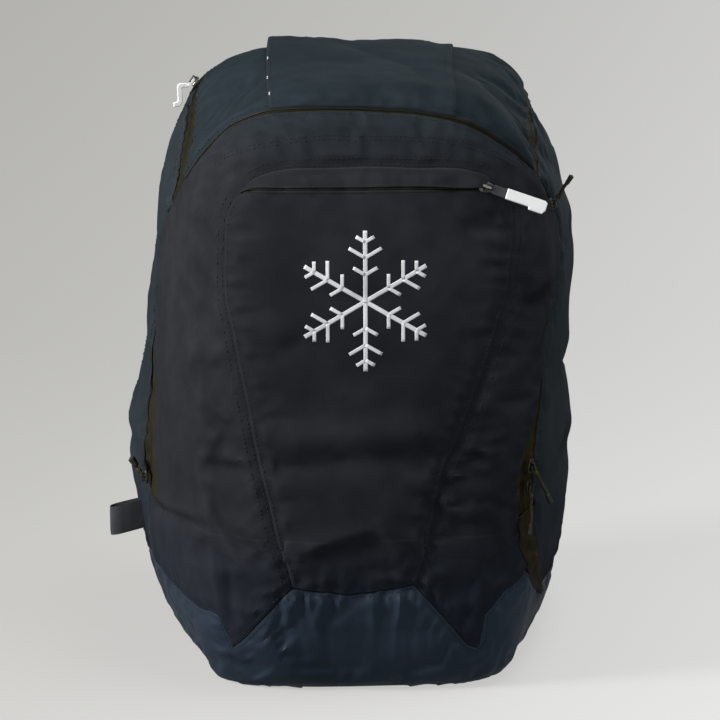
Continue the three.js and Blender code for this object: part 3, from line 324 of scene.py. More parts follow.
# The tub's upper edge, from the left rear seam round the front to the right rear seam.
TUB_EDGE = vec([rear_at(-172, 62), *xyz("""-175 75 62, -172 32 58, -160 -15 58, -144 -62 62,
    -127 -107 65, -117 -119 65, -112 -119 47, -107 -118 38, -101 -124 44, -90 -133 58,
    -75 -140 77, -60 -144 95, -36 -145 91, -14 -145 88, 15 -145 92, 38 -145 96, 49 -142 84,
    71 -136 56, 83 -130 41, 90 -127 37, 94 -126 46, 96 -132 68, 112 -128 85, 134 -110 94,
    143 -80 80, 152 -40 64, 165 20 61, 175 75 62"""), rear_at(174, 62)])
# And on along the back, from right to left.
BACK_EDGE = vec([TUB_EDGE[-1], *xyz("""172 121 62, 165 128 62, 154 131.5 62, 135 133 62,
    90 133 62, 45 133 62, 0 133 62, -45 133 62, -90 133 62, -135 133 62, -154 131.5 62,
    -165 128 62, -171 121 62"""), TUB_EDGE[0]])


def subdivided(corners, longest=3.0):
    rows = [corners[:1]]
    for start, end in zip(corners[:-1], corners[1:]):
        count = math.ceil(np.linalg.norm(end - start) / longest)
        rows.append(start + (end - start) * np.arange(1, count + 1)[:, None] / count)
    return snap(np.vstack(rows))


EDGE_LEFT, EDGE_FRONT = subdivided(TUB_EDGE[:3]), subdivided(TUB_EDGE[2:25])
EDGE_RIGHT, EDGE_BACK = subdivided(TUB_EDGE[24:]), subdivided(BACK_EDGE)


# ---------------------------------------------------------------- noise, creases and puckers
class Noise:
    """Smooth value noise on a repeating grid of cells."""

    def __init__(self, seed):
        self.grid = np.random.default_rng(seed).random((24, 24, 24)) * 2 - 1

    def __call__(self, pos, size):
        scaled = np.asarray(pos, float) / size + 100
        cell = np.floor(scaled).astype(int)
        share = scaled - cell
        share = share * share * (3 - 2 * share)
        total = 0
        for corner in np.ndindex(2, 2, 2):
            weight = np.prod(np.where(corner, share, 1 - share), -1)
            total = total + weight * self.grid[tuple(np.moveaxis((cell + corner) % 24, -1, 0))]
        return total


noise_a, noise_b, noise_c = Noise(3), Noise(11), Noise(29)


def near(pos, line):
    """Distance to a polyline and the place along it, for each point, and its length."""
    flat = pos.reshape(-1, 3)
    best = np.full(len(flat), 1e9)
    place = np.zeros(len(flat))
    run = 0.0
    for start, end in zip(line[:-1], line[1:]):
        step = end - start
        length = np.linalg.norm(step)
        t = np.clip((flat - start) @ step / (length * length + 1e-9), 0, 1)
        dist = np.linalg.norm(flat - (start + t[:, None] * step), axis=1)
        closer = dist < best
        best = np.where(closer, dist, best)
        place = np.where(closer, run + t * length, place)
        run += length
    return best.reshape(pos.shape[:-1]), place.reshape(pos.shape[:-1]), run


# Each crease: points, height (valleys below zero), width, height of a soft ridge above it,
# how far up that ridge is.
CREASES = [
    ("-131 -126 190, -123 -134 204, -113 -141 222", -2.4, 6, 1.6, 11),
    ("-131 -126 190, -111 -142 191, -92 -148 194", -2.6, 6, 1.6, 11),
    ("-128 -130 268, -119 -137 276, -108 -142 284", -1.8, 6, 1.0, 10),
    ("-127 -131 225, -121 -136 228, -112 -141 226", -1.6, 5, 1.0, 9),
    ("-90 -149 208, -74 -150 200, -56 -151 197, -34 -152 200, -14 -153 203, 13 -153 204,"
     "41 -152 202, 66 -151 207", -2.3, 10, 2.0, 22),
    ("-58 -148 124, -42 -149 133, -31 -150 138, -10 -151 143, 9 -151 147", 2.3, 9, -1.3, -15),
    ("9 -151 147, 18 -150 134, 27 -148 118", 1.8, 8, -1.0, -13),
    ("45 -151 172, 56 -150 162, 66 -149 154, 75 -148 147, 88 -147 142", -2.4, 6, 1.6, 11),
    ("74 -150 207, 88 -149 202, 99 -147 195", -2.0, 5, 1.4, 8),
    ("70 -150 195, 86 -149 189, 98 -147 184", -1.8, 4.5, 1.2, 7),
    ("56 -151 184, 67 -150 181, 77 -149 182", -1.4, 4.5, 0.8, 8),
    ("-12 84 499, 15 39 498, 44 -10 495, 57 -62 490, 52 -96 482", -2.6, 11, 1.6, 22),
    ("92 -86 475, 100 -97 465, 109 -103 453", -2.0, 7, 1.2, 12),
    ("-108 -64 463, -89 -28 481, -74 16 491", -2.0, 8, 1.2, 14),
    ("-120 -52 452, -104 -20 473, -88 24 487", -1.6, 7, 1.0, 12),
    ("-56 -145 341, -22 -147 331, 28 -147 336", -1.2, 14, 0.8, 24),
    ("-92 -146 300, -70 -148 292, -48 -149 298", -1.2, 9, 0.7, 16),
    ("146 -100 300, 132 -126 276, 116 -140 250", -1.8, 9, 1.3, 15),
    ("149 -88 330, 136 -118 322, 120 -134 330", -1.4, 8, 0.9, 14),
    ("-176 34 123, -169 -2 126, -156 -55 132, -142 -101 138, -129 -124 142", -2.2, 5, 1.3, 10),
    ("-112 -134 112, -111 -131 92, -108 -126 60", -1.6, 5, 0.0, 10),
    ("96 -142 150, 108 -137 128, 113 -132 104", -1.5, 7, 1.0, 12),
    ("-168 20 360, -164 60 400, -152 92 430", -2.2, 10, 1.3, 18),
    ("-182 60 240, -184 92 262, -178 108 300", -2.0, 9, 1.2, 16),
    ("-184 50 150, -187 80 168, -184 106 160", -1.8, 9, 1.2, 16),
    ("176 -10 330, 184 40 350, 186 90 340", -2.2, 11, 1.4, 20),
    ("160 -60 230, 176 0 246, 188 70 236", -2.0, 11, 1.4, 20),
    ("156 -60 160, 172 0 172, 188 84 150", -2.0, 11, 1.4, 20),
    ("150 -60 118, 166 10 112, 182 80 120", -1.6, 9, 1.0, 16),
    ("142 -40 440, 160 10 410, 176 60 396", -1.6, 10, 1.0, 18),
    ("90 -20 488, 110 30 484, 118 90 484", -1.6, 9, 1.0, 16),
]
CREASES = [(snap(Path(xyz(text)).at(np.linspace(0, 1, 14))), *rest) for text, *rest in CREASES]
# A sharper turn between the front and the left face.
TURN_LEFT = snap(Path(xyz("""-128 -96 404, -139 -100 378, -141 -106 350, -140 -112 310,
    -135 -122 250, -130 -127 198, -128 -126 150, -122 -125 108, -116 -122 70"""))
    .at(np.linspace(0, 1, 40)))
# Beside the left zip, where the cloth is drawn in.
GAP_SHIFT = np.interp(LEFT_SIDE.pts[::4, 2], [128, 200, 290], [26, 14, 0])[:, None]
LEFT_GAP = snap(LEFT_SIDE.pts[::4] + vec([3.2, -1.0, 0]) * GAP_SHIFT)
SEAMS = [  # line, pucker height, period, reach
    (POCKET_LEFT.pts[::3], 0.75, 12.0, 11.0),
    (POCKET_RIGHT.pts[::3], 0.9, 12.0, 12.0),
    (ARC.pts[::3], 0.45, 15.0, 10.0),
    (WELT.pts[::4], 0.35, 14.0, 8.0),
    (LEFT_SIDE.pts[::3], 0.7, 17.0, 15.0),
    (RIGHT_SIDE.pts[::3], 0.7, 16.0, 14.0),
    (WEDGE_LEFT.pts[::5], 0.6, 15.0, 12.0),
    (WEDGE_RIGHT.pts[::5], 0.6, 15.0, 12.0),
    (EDGE_FRONT[::3], 0.75, 13.0, 15.0),
    (EDGE_RIGHT[::5], 0.8, 16.0, 15.0),
    (EDGE_LEFT[::5], 0.8, 16.0, 15.0),
]
# Swellings and hollows of the stuffed outline: height, centre, radius.
BULGES = [
    (5.5, (-188, 84, 196), 52), (3.0, (-184, 70, 140), 30), (4.0, (122, 96, 488), 40),
    (-5.0, (-118, 94, 486), 20), (-2.0, (158, 60, 420), 34), (-5.0, (186, 60, 256), 28),
    (3.5, (190, 60, 190), 44), (3.0, (190, 60, 330), 34), (8.0, (-106, -84, 18), 28),
    (5.0, (98, -92, 16), 26),
]


def bump_at(pos, centre, radius):
    return np.exp(-((pos - vec(centre, float)) ** 2).sum(-1) / (radius * radius))


def crease_relief(pos, height):
    """Adds the creases to height."""
    for line, depth, width, ridge, up in CREASES:
        middle = line.mean(0)
        reach = np.linalg.norm(line - middle, axis=1).max() + 3 * width + 3 * abs(up) + 12
        close = np.linalg.norm(pos - middle, axis=-1) < reach
        some = pos[close]
        dist, place, length = near(some, line)
        ends = np.clip(np.minimum(place, length - place) / (0.3 * length) + 0.35, 0, 1)
        add = 1.5 * depth * (0.45 * np.exp(-((dist / width) ** 2))
                             + 0.55 * np.exp(-np.sqrt(dist * dist + 1.2) / (0.75 * width)))
        if ridge:
            above, _, _ = near(some, line + vec([0, 0, float(up)]))
            add = add + 1.5 * ridge * np.exp(-((above / (1.25 * width)) ** 2))
        height[close] += add * ends


def pucker_relief(pos, height):
    """Adds the puckers beside the seams to height."""
    for line, size, period, reach in SEAMS:
        dist, place, _ = near(pos, line)
        close = dist < 4 * reach
        dist, place = dist[close], place[close]
        along = lambda row: np.stack([place, 0 * place, 0 * place + row], -1)
        jitter = noise_b(along(size * 97), 31)
        scale = 0.6 + 0.8 * noise_c(along(size * 31), 45)
        wave = (np.sin(2 * np.pi * place / period + 3.0 * jitter)
                + 0.45 * np.sin(2 * np.pi * place / (0.61 * period) + 5 * jitter))
        height[close] += (size * scale * wave * np.exp(-dist / reach)
                          * (1 - np.exp(-dist / 3.0)))
        height[close] += 0.9 * (np.exp(-((dist - 9) / 7.0) ** 2))


def cloth_relief(pos):
    """How far the settled cloth stands off the plain surface, held to a few millimetres."""
    flat = pos.reshape(-1, 3)
    way = unit(flat - CENTRE)
    radius = np.linalg.norm(flat - CENTRE, axis=1)
    out = np.zeros(len(flat))
    origin = Vector(CENTRE)
    for i in range(len(flat)):
        hit = cloth_tree.ray_cast(origin, Vector(way[i]))[0]
        if hit is not None:
            out[i] = (hit - origin).length - radius[i]
    return (3.2 * np.tanh(out * dot(way, normal(flat)) / 3.2)).reshape(pos.shape[:-1])


def relief(pos):
    """How far the dressed surface stands off the plain one, at points of the plain one."""
    pos = np.asarray(pos, float)
    x, y, z = pos[..., 0], pos[..., 1], pos[..., 2]
    height = (2.2 * noise_a(pos, 95) + 1.35 * noise_b(pos, 42)
              + 0.50 * noise_c(pos, 19) + 0.16 * noise_a(pos, 9))
    soft = np.clip((118 - y) / 20, 0, 1) * np.clip((z - 4) / 18, 0, 1)
    soft = soft * np.where(z < 60, 0.55, 1.0)
    crease_relief(pos, height)
    dist, _, _ = near(pos, TURN_LEFT)
    height = (height + 3.6 * np.exp(-np.sqrt(dist * dist + 0.8) / 12.0)
              - 1.6 * np.exp(-((dist / 30.0) ** 2)))
    pucker_relief(pos, height)
    # Drawn up below the two front peaks of the tub.
    below = np.clip((94 - z) / 8, 0, 1) * np.exp(-np.clip(94 - z, 0, None) / 34) * (y < -100)
    peaks = np.exp(-((np.abs(x + 12) - 36) / 26.0) ** 2)
    height = height + 3.0 * below * peaks * (
        np.sin(2 * np.pi * (x + 11 * noise_a(pos, 60)) / 21.0)
        + 0.45 * np.sin(2 * np.pi * (x + 8 * noise_b(pos, 44)) / 11.5))
    height = height * soft
    if cloth_tree is not None:
        height = height + cloth_relief(pos)
    # Drawn in along the wide lower ends of the side zips.
    for line, depth, width in ((LEFT_GAP, 4.0, 26.0), (RIGHT_SIDE.pts[::4], 2.0, 12.0)):
        dist, _, _ = near(pos, line)
        height = height - (depth * np.exp(-((dist / width) ** 2))
                           * np.clip((250 - z) / 70, 0, 1) * np.clip((z - 96) / 34, 0, 1))
    for rise, centre, radius in BULGES:
        height = height + rise * bump_at(pos, centre, radius)
    # Flatter at the left end of the front.
    side = np.clip((-72 - x) / 60, 0, 1)
    return height - (5.0 * side * side * (3 - 2 * side) * np.clip((-70 - y) / 30, 0, 1)
                     * np.clip((z - 118) / 50, 0, 1) * np.clip((425 - z) / 50, 0, 1))


# ---------------------------------------------------------------- meshes
def link(obj):
    bpy.context.scene.collection.objects.link(obj)
    return obj


def place(obj, body, *nodes):
    """Makes a piece ride on a body, and stand in for pieces of the frame."""
    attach(obj, body)
    if nodes:
        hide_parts(*nodes)


def make(name, verts, faces, mats, uv=None, sharp=40, index=None):
    """An object from points in millimetres; uv is given per point."""
    mesh = bpy.data.meshes.new(name)
    mesh.from_pydata([tuple(v) for v in np.asarray(verts) * MM], [],
                     [tuple(int(i) for i in face) for face in faces])
    for mat in mats if isinstance(mats, list) else [mats]:
        mesh.materials.append(mat)
    if index is not None:
        mesh.polygons.foreach_set("material_index", np.asarray(index, np.int32))
    if uv is not None:
        layer = mesh.uv_layers.new(name="UVMap")
        corners = np.zeros(len(mesh.loops), np.int32)
        mesh.loops.foreach_get("vertex_index", corners)
        layer.data.foreach_set("uv", (np.asarray(uv, np.float32)[corners] * MM).ravel())
    mesh.polygons.foreach_set("use_smooth", np.ones(len(mesh.polygons), bool))
    mesh.update()
    mesh.validate()
    if sharp:
        mesh.set_sharp_from_angle(angle=math.radians(sharp))
    return link(bpy.data.objects.new(name, mesh))


def outward(obj):
    """Faces of a closed mesh turned outwards."""
    work = bmesh.new()
    work.from_mesh(obj.data)
    bmesh.ops.recalc_face_normals(work, faces=work.faces)
    work.to_mesh(obj.data)
    work.free()
    return obj


def merged(parts):
    """Joins (verts, faces) pairs into one."""
    all_verts, all_faces, count = [], [], 0
    for verts, faces in parts:
        all_verts.append(np.asarray(verts, float))
        all_faces += [tuple(i + count for i in face) for face in faces]
        count += len(verts)
    return np.vstack(all_verts), all_faces


def grid_faces(rows, cols, base=0, wrap=False, flip=False):
    row, col = np.meshgrid(np.arange(rows - 1), np.arange(cols if wrap else cols - 1),
                           indexing="ij")
    after = (col + 1) % cols
    quads = [row * cols + col, row * cols + after, (row + 1) * cols + after,
             (row + 1) * cols + col]
    quads = np.stack(quads, -1).reshape(-1, 4) + base
    return quads[:, ::-1] if flip else quads


def sheet(top, bottom, ends_first=False):
    """Two grids of points closed into one sheet, as verts and faces."""
    rows, cols = top.shape[:2]
    size = rows * cols
    left = np.arange(rows - 1) * cols
    right = left + cols - 1
    low = np.arange(cols - 1)
    high = low + (rows - 1) * cols
    sides = [np.stack([left, left + cols, size + left + cols, size + left], -1),
             np.stack([right, size + right, size + right + cols, right + cols], -1)]
    ends = [np.stack([low, size + low, size + low + 1, low + 1], -1),
            np.stack([high, high + 1, size + high + 1, size + high], -1)]
    walls = ends + sides if ends_first else sides + ends
    faces = [grid_faces(rows, cols), grid_faces(rows, cols, size, flip=True), *walls]
    return np.vstack([top.reshape(-1, 3), bottom.reshape(-1, 3)]), np.vstack(faces)


def sheet_object(name, top, bottom, mat, along, across):
    verts, faces = sheet(top, bottom)
    uv = np.stack(np.broadcast_arrays(along[:, None], across), -1).reshape(-1, 2)
    return outward(make(name, verts, faces, mat, np.vstack([uv, uv]), 50))


def lengths(grid):
    """Distance along the rows and along the columns of a grid."""
    by_col = np.linalg.norm(np.diff(grid, axis=1), axis=2)
    by_row = np.linalg.norm(np.diff(grid, axis=0), axis=2)
    return (np.concatenate([np.zeros((grid.shape[0], 1)), np.cumsum(by_col, 1)], 1),
            np.concatenate([np.zeros((1, grid.shape[1])), np.cumsum(by_row, 0)], 0))


def roll(dist, radius):
    """The drop of a rounded edge, by distance from it."""
    short = np.clip(radius - dist, 0, radius)
    return radius - np.sqrt(np.maximum(radius * radius - short * short, 0))


def fine(length, step, edge=(0, 0.35, 0.9, 1.7, 2.8, 4.2)):
    """Fractions of an edge's length: close together near both ends."""
    edge = vec([x for x in edge if x < length / 2.5])
    count = max(2, int(round((length - 2 * edge[-1]) / step)))
    middle = np.linspace(edge[-1], length - edge[-1], count + 1)
    return np.r_[edge[:-1], middle, (length - edge[:-1])[::-1]] / length


def between(low, high, left, right, across, up, corner=16.0, relax=160):
    """A grid of surface points filling four edges, at fractions across and up them."""
    low_left, low_right = (low.at(0) + left.at(0)) / 2, (low.at(1) + right.at(0)) / 2
    high_left, high_right = (high.at(0) + left.at(1)) / 2, (high.at(1) + right.at(1)) / 2

    def fit(path, start, end):
        """The path as a function, bent near its ends to meet the corners."""
        def pull(frac):
            return (np.clip(1 - frac * path.length / corner, 0, None) ** 2)[:, None]
        return lambda frac: (path.at(frac) + (start - path.at(0)) * pull(frac)
                             + (end - path.at(1)) * pull(1 - frac))

    low_fit, high_fit = fit(low, low_left, low_right), fit(high, high_left, high_right)
    left_fit, right_fit = fit(left, low_left, high_left), fit(right, low_right, high_right)

    def coons(us, vs):
        u, v = us[None, :, None], vs[:, None, None]
        return (low_fit(us)[None] * (1 - v) + high_fit(us)[None] * v
                + left_fit(vs)[:, None] * (1 - u) + right_fit(vs)[:, None] * u
                - low_left * (1 - u) * (1 - v) - low_right * u * (1 - v)
                - high_left * (1 - u) * v - high_right * u * v)

    # Even out a coarse grid on the surface, and add what it moved to the full one.
    cols, rows = 24, 20
    base = coons(np.linspace(0, 1, cols + 1), np.linspace(0, 1, rows + 1))
    even = snap(base)
    for _ in range(relax):
        even[1:-1, 1:-1] = (even[:-2, 1:-1] + even[2:, 1:-1]
                            + even[1:-1, :-2] + even[1:-1, 2:]) / 4
    shift = even - base
    shift[0] = shift[-1] = 0
    shift[:, 0] = shift[:, -1] = 0
    col = np.clip((across * cols).astype(int), 0, cols - 1)
    row = np.clip((up * rows).astype(int), 0, rows - 1)
    u, v = (across * cols - col)[None, :, None], (up * rows - row)[:, None, None]
    shift = (shift[row][:, col] * (1 - u) * (1 - v) + shift[row][:, col + 1] * u * (1 - v)
             + shift[row + 1][:, col] * (1 - u) * v + shift[row + 1][:, col + 1] * u * v)
    return snap(coons(across, up) + shift)


def strip(low, high, across, up, **options):
    """A grid between two lines with straight ends, left unrelaxed."""
    ends = [Path([low.at(k), high.at(k)]) for k in (0, 1)]
    return between(low, high, *ends, across, up, relax=0, **options)


def panel(low, high, left, right, step):
    return between(low, high, left, right, fine(max(low.length, high.length), step),
                   fine(max(left.length, right.length), step))


def slab(name, grid, mats, wall=3.0, lift=0.0, radius=1.6, edges="lrbt", extra=0.0):
    """A sewn panel: a surface grid dressed with the relief, its edges turned in.

    The edges are l, r, b and t: left, right, bottom and top of the grid. Of two
    materials the second is for the inner face.
    """
    out_way = normal(grid)
    along, up = lengths(grid)
    outer = relief(grid) + lift + extra
    inner = outer - wall
    from_edge = {"l": along, "r": along[:, -1:] - along, "b": up, "t": up[-1:] - up}
    for edge in edges:
        outer = outer - roll(from_edge[edge], radius)
        inner = inner + 0.3 * roll(from_edge[edge], min(radius, wall * 0.8))
    inner = np.minimum(inner, outer - 0.35)
    verts, faces = sheet(grid + out_way * outer[..., None], grid + out_way * inner[..., None],
                         ends_first=True)
    index = None
    if isinstance(mats, list):
        quads = (grid.shape[0] - 1) * (grid.shape[1] - 1)
        index = np.zeros(len(faces))
        index[quads : 2 * quads] = 1
    middle = grid.shape[1] // 2
    uv = np.stack([along - along[:, middle : middle + 1], up], -1).reshape(-1, 2)
    return make(name, verts, faces, mats, np.vstack([uv, uv]), 38, index)


def frames_along(line, up):
    """Tangents of a line, up made square to them, and the third direction."""
    tangent = unit(np.gradient(line, axis=0))
    square = unit(up - tangent * dot(up, tangent)[:, None])
    return tangent, square, np.cross(tangent, square)


def tube(line, radius, sides, up, twist=0.0, lobes=0, depth=0.0, flat=1.0):
    """Verts and faces of a capped tube, whose section may have twisted lobes."""
    line = np.asarray(line, float)
    tangent, square, third = frames_along(line, up)
    angle = np.arange(sides) * 2 * np.pi / sides
    run = Path(line).dist
    radii = (np.zeros(len(line)) + radius)[:, None] * (
        1 + depth * np.cos(lobes * angle[None] - twist * run[:, None]))
    verts = line[:, None] + radii[..., None] * (
        square[:, None] * np.cos(angle)[None, :, None]
        + third[:, None] * (flat * np.sin(angle))[None, :, None])
    verts = verts.reshape(-1, 3)
    tip = len(verts)
    verts = np.vstack([verts, line[:1] - tangent[:1] * radii[0].mean() * 0.5,
                       line[-1:] + tangent[-1:] * radii[-1].mean() * 0.5])
    end = tip - sides
    faces = list(grid_faces(len(line), sides, 0, True))
    faces += [(tip, (k + 1) % sides, k) for k in range(sides)]
    faces += [(tip + 1, end + k, end + (k + 1) % sides) for k in range(sides)]
    return verts, faces


def piping(name, path, lift, body):
    """A thin cord on the surface along the rim of a zip's tape."""
    out_way = normal(path.pts)
    line = path.pts + out_way * (relief(path.pts) + lift)[:, None]
    place(outward(make(name, *tube(line, 0.45, 6, out_way), PIPING)), body)


# One stitch: a pointed bar with a square section, as shares of length, width and height.
STITCH = vec([(-0.5, 0, 0)] + [(x, across, up) for x in (-0.3, 0.3)
             for across, up in ((1, 0), (0, 1), (-1, 0), (0, -1))] + [(0.5, 0, 0)], float)
STITCH_FACES = ([(0, 1 + k, 1 + (k + 1) % 4) for k in range(4)]
                + [(1 + k, 5 + k, 5 + (k + 1) % 4, 1 + (k + 1) % 4) for k in range(4)]
                + [(9, 5 + (k + 1) % 4, 5 + k) for k in range(4)])


def stitch(path, lift=0.1, pitch=3.7, size=(2.6, 0.3, 0.26), height=relief):
    """A row of stitches; size is a stitch's length, half width and half height."""
    count = max(2, int(path.length / pitch))
    frac = (np.arange(count) + 0.5) / count
    pos, along = path.at(frac), path.tangent(frac)
    out_way = normal(pos)
    axes = (along, unit(np.cross(out_way, along)), out_way)
    verts = (pos + out_way * (height(pos) + lift)[:, None])[:, None]
    for k in range(3):
        verts = verts + axes[k][:, None] * (STITCH[:, k] * size[k])[None, :, None]
    return [(one, STITCH_FACES) for one in verts]


def stitches(name, parts, mat, body):
    place(outward(make(name, *merged(parts), mat, sharp=0)), body)


# ---------------------------------------------------------------- materials
def srgb(rgb):
    """Linear RGBA from sRGB values out of 255."""
    linear = [((c / 255 + 0.055) / 1.055) ** 2.4 if c > 10.3 else c / 255 / 12.92 for c in rgb]
    return (*linear, 1.0)


class Material:
    """A node material being put together."""

    def __init__(self, name):
        self.material = bpy.data.materials.new(name)
        self.material.use_nodes = True
        self.tree = self.material.node_tree
        self.tree.nodes.clear()

    def feed(self, socket, value):
        if isinstance(value, bpy.types.NodeSocket):
            self.tree.links.new(value, socket)
        else:
            socket.default_value = value

    def node(self, kind, *values, **named):
        """A new node: values go to inputs by number, named ones to inputs or properties."""
        made = self.tree.nodes.new(kind)
        for key, value in named.items():
            socket = key.replace("_", " ")
            if socket in made.inputs:
                self.feed(made.inputs[socket], value)
            else:
                setattr(made, key, value)
        for i, value in enumerate(values):
            self.feed(made.inputs[i], value)
        return made

    def coords(self):
        return self.node("ShaderNodeTexCoord").outputs

    def split(self, vector):
        return self.node("ShaderNodeSeparateXYZ", vector).outputs

    def math(self, operation, first, second=0.0, *third):
        return self.node("ShaderNodeMath", first, second, *third, operation=operation).outputs[0]

    def times(self, first, second):
        return self.math("MULTIPLY", first, second)

    def mix(self, factor, first, second):
        made = self.node("ShaderNodeMix", data_type="RGBA")
        for socket, value in ((0, factor), (6, first), (7, second)):
            self.feed(made.inputs[socket], value)
        return made.outputs[2]

    def stain(self, colour, mask, amount, to):
        """The colour moved towards another by amount, where the mask is white."""
        return self.mix(self.times(mask, amount), colour, to)

    def ramp(self, value, stops):
        """A colour ramp; a stop's colour may be one grey."""
        made = self.tree.nodes.new("ShaderNodeValToRGB")
        self.tree.links.new(value, made.inputs[0])
        elements = made.color_ramp.elements
        while len(elements) < len(stops):
            elements.new(0.5)
        for element, (position, colour) in zip(elements, stops):
            element.position = position
            element.color = colour if isinstance(colour, tuple) else (colour,) * 3 + (1,)
        return made.outputs[0]

    def rise(self, value, low, high):
        return self.ramp(value, [(low, 0), (high, 1)])

    def fall(self, value, low, high):
        return self.ramp(value, [(low, 1), (high, 0)])

    def worn(self, low, high):
        """White where edges stand out."""
        return self.rise(self.node("ShaderNodeNewGeometry").outputs["Pointiness"], low, high)

    def noise(self, vector, scale, detail=3.0, rough=0.55):
        return self.node("ShaderNodeTexNoise", Vector=vector, Scale=scale, Detail=detail,
                         Roughness=rough).outputs[0]

    def weave(self, uv, pitch):
        """Height of a plain weave."""
        u, v, _ = self.split(uv)
        waves = 2 * math.pi / pitch
        across = self.math("SINE", self.times(u, waves))
        along = self.math("SINE", self.times(v, waves))
        return self.math("MULTIPLY_ADD", self.times(across, along), 0.5, 0.5)

    def bump(self, height, strength, distance):
        return self.node("ShaderNodeBump", Strength=strength, Distance=distance,
                         Height=height).outputs[0]

    def spread(self, value, width, low):
        """A 0 to 1 value set between low and low + width."""
        return self.math("MULTIPLY_ADD", value, width, low)

    def out(self, shader):
        made = self.tree.nodes.new("ShaderNodeOutputMaterial")
        self.tree.links.new(shader, made.inputs[0])
        return self.material

    def finish(self, colour, rough, normal, **inputs):
        return self.out(self.node("ShaderNodeBsdfPrincipled", Base_Color=colour,
                                  Roughness=rough, Normal=normal, **inputs).outputs[0])


# Pitches and bump distances below are in metres; scales are noise cells per metre.
def fabric(name, dark, light, rough=0.82, pitch=0.0011, bump=0.35, sheen=0.0, painted_top_light_and_bottom_tint=None,
           grain=0.25):
    """Woven cloth; the tint pair gives a colour painted on its top as light from above, also laid
    on its bottom, and one more colour for the bottom.
    """
    mat = Material(name)
    coords = mat.coords()
    pos = coords["Object"]
    dark, light = srgb(dark), srgb(light)
    colour = mat.mix(mat.rise(mat.noise(pos, scale=9.0, detail=4.0), 0.35, 0.66), dark, light)
    # Painted light: the top is stained lighter and bluer, standing in for light from above; the
    # bottom is stained too.
    if painted_top_light_and_bottom_tint:
        z = mat.split(pos)[2]
        ends = mat.ramp(mat.times(z, 2.0), [(0.10, 1), (0.30, 0), (0.84, 0),
                                            (0.98, (0.9, 0.9, 0.9, 1))])
        bottom = mat.fall(mat.times(z, 2.0), 0.12, 0.34)
        colour = mat.stain(colour, ends, amount=0.85, to=srgb(painted_top_light_and_bottom_tint[0]))
        colour = mat.stain(colour, bottom, amount=0.8, to=srgb(painted_top_light_and_bottom_tint[1]))
    # Darker patches.
    patches = mat.fall(mat.noise(pos, scale=42.0, detail=5.0, rough=0.64), 0.38, 0.60)
    shade = (dark[0] * 0.5, dark[1] * 0.5, dark[2] * 0.52, 1)
    colour = mat.stain(colour, patches, amount=0.30, to=shade)
    # Dark between the threads, pale flecks and pale worn edges.
    weave = mat.weave(coords["UV"], pitch)
    lint = mat.noise(pos, scale=1500.0, detail=2.0, rough=0.7)
    gaps = mat.times(mat.math("SUBTRACT", 1.0, weave), grain)
    colour = mat.mix(gaps, colour, mat.mix(1.0, colour, (0.008, 0.009, 0.011, 1)))
    flecks = mat.rise(lint, 0.62, 0.74)
    colour = mat.stain(colour, flecks, amount=0.10, to=(0.12, 0.125, 0.13, 1))
    colour = mat.stain(colour, mat.worn(0.50, 0.60), amount=0.16, to=(0.11, 0.115, 0.125, 1))
    slubs = mat.noise(pos, scale=60.0, detail=3.0, rough=0.6)
    height = mat.math("ADD", weave, mat.times(slubs, 0.8))
    normal_out = mat.bump(height, strength=bump, distance=0.00025)
    rough_out = mat.spread(mat.noise(pos, scale=30.0), width=0.18, low=rough - 0.09)
    return mat.finish(colour, rough_out, normal_out, Sheen_Weight=sheen, Sheen_Roughness=0.45,
                      Specular_IOR_Level=0.12)


def tarpaulin(name):
    """Coated cloth, scuffed pale near the ground."""
    mat = Material(name)
    coords = mat.coords()
    pos = coords["Object"]
    colour = mat.mix(mat.rise(mat.noise(pos, scale=10.0, detail=4.0), 0.35, 0.68),
                     srgb((29, 40, 53)), srgb((41, 53, 67)))
    scuffs = mat.rise(mat.noise(pos, scale=75.0, detail=5.0, rough=0.7), 0.60, 0.72)
    low = mat.fall(mat.times(mat.split(pos)[2], 10.0), 0.0, 0.35)
    colour = mat.stain(colour, mat.times(scuffs, low), amount=0.35, to=srgb((88, 92, 96)))
    weave = mat.weave(coords["UV"], 0.0016)
    grain = mat.node("ShaderNodeTexVoronoi", Vector=pos, Scale=900.0).outputs[0]
    # Bump height: shares of the weave, the grain and broad waves.
    height = mat.math("ADD", mat.times(weave, 0.5), mat.times(grain, 0.35))
    height = mat.math("ADD", height, mat.times(mat.noise(pos, scale=45.0), 1.3))
    normal_out = mat.bump(height, strength=0.32, distance=0.0003)
    rough_out = mat.spread(mat.noise(pos, scale=25.0), width=0.2, low=0.33)
    return mat.finish(colour, rough_out, normal_out, Coat_Weight=0.0, Coat_Roughness=0.4,
                      Specular_IOR_Level=0.3)


def ribbed(name, dark, light, across=0.0024, along=0.0013, rough=0.75, bump=0.6):
    """Webbing and zip tape: ribs along the length, picks across it."""
    mat = Material(name)
    coords = mat.coords()
    u, v, _ = mat.split(coords["UV"])
    ribs = mat.math("SINE", mat.times(v, 2 * math.pi / across))
    zigzag = mat.times(mat.math("ABSOLUTE", ribs), 0.8)
    picks = mat.math("SINE", mat.math("ADD", mat.times(u, 2 * math.pi / along),
                                      mat.times(zigzag, 2.2)))
    height = mat.math("ADD", mat.times(mat.math("ABSOLUTE", ribs), 0.8),
                      mat.times(picks, 0.28))
    mottle = mat.noise(coords["Object"], scale=40.0, detail=4.0, rough=0.6)
    colour = mat.mix(mat.rise(mottle, 0.35, 0.68), srgb(dark), srgb(light))
    grooves = mat.ramp(height, [(0.0, (0.45, 0.45, 0.45, 1)), (0.5, 0)])
    colour = mat.mix(grooves, colour, (0.006, 0.006, 0.006, 1))
    normal_out = mat.bump(height, strength=bump, distance=0.0003)
    rough_out = mat.spread(mottle, width=0.15, low=rough - 0.07)
    return mat.finish(colour, rough_out, normal_out, Sheen_Weight=0.0, Specular_IOR_Level=0.14)


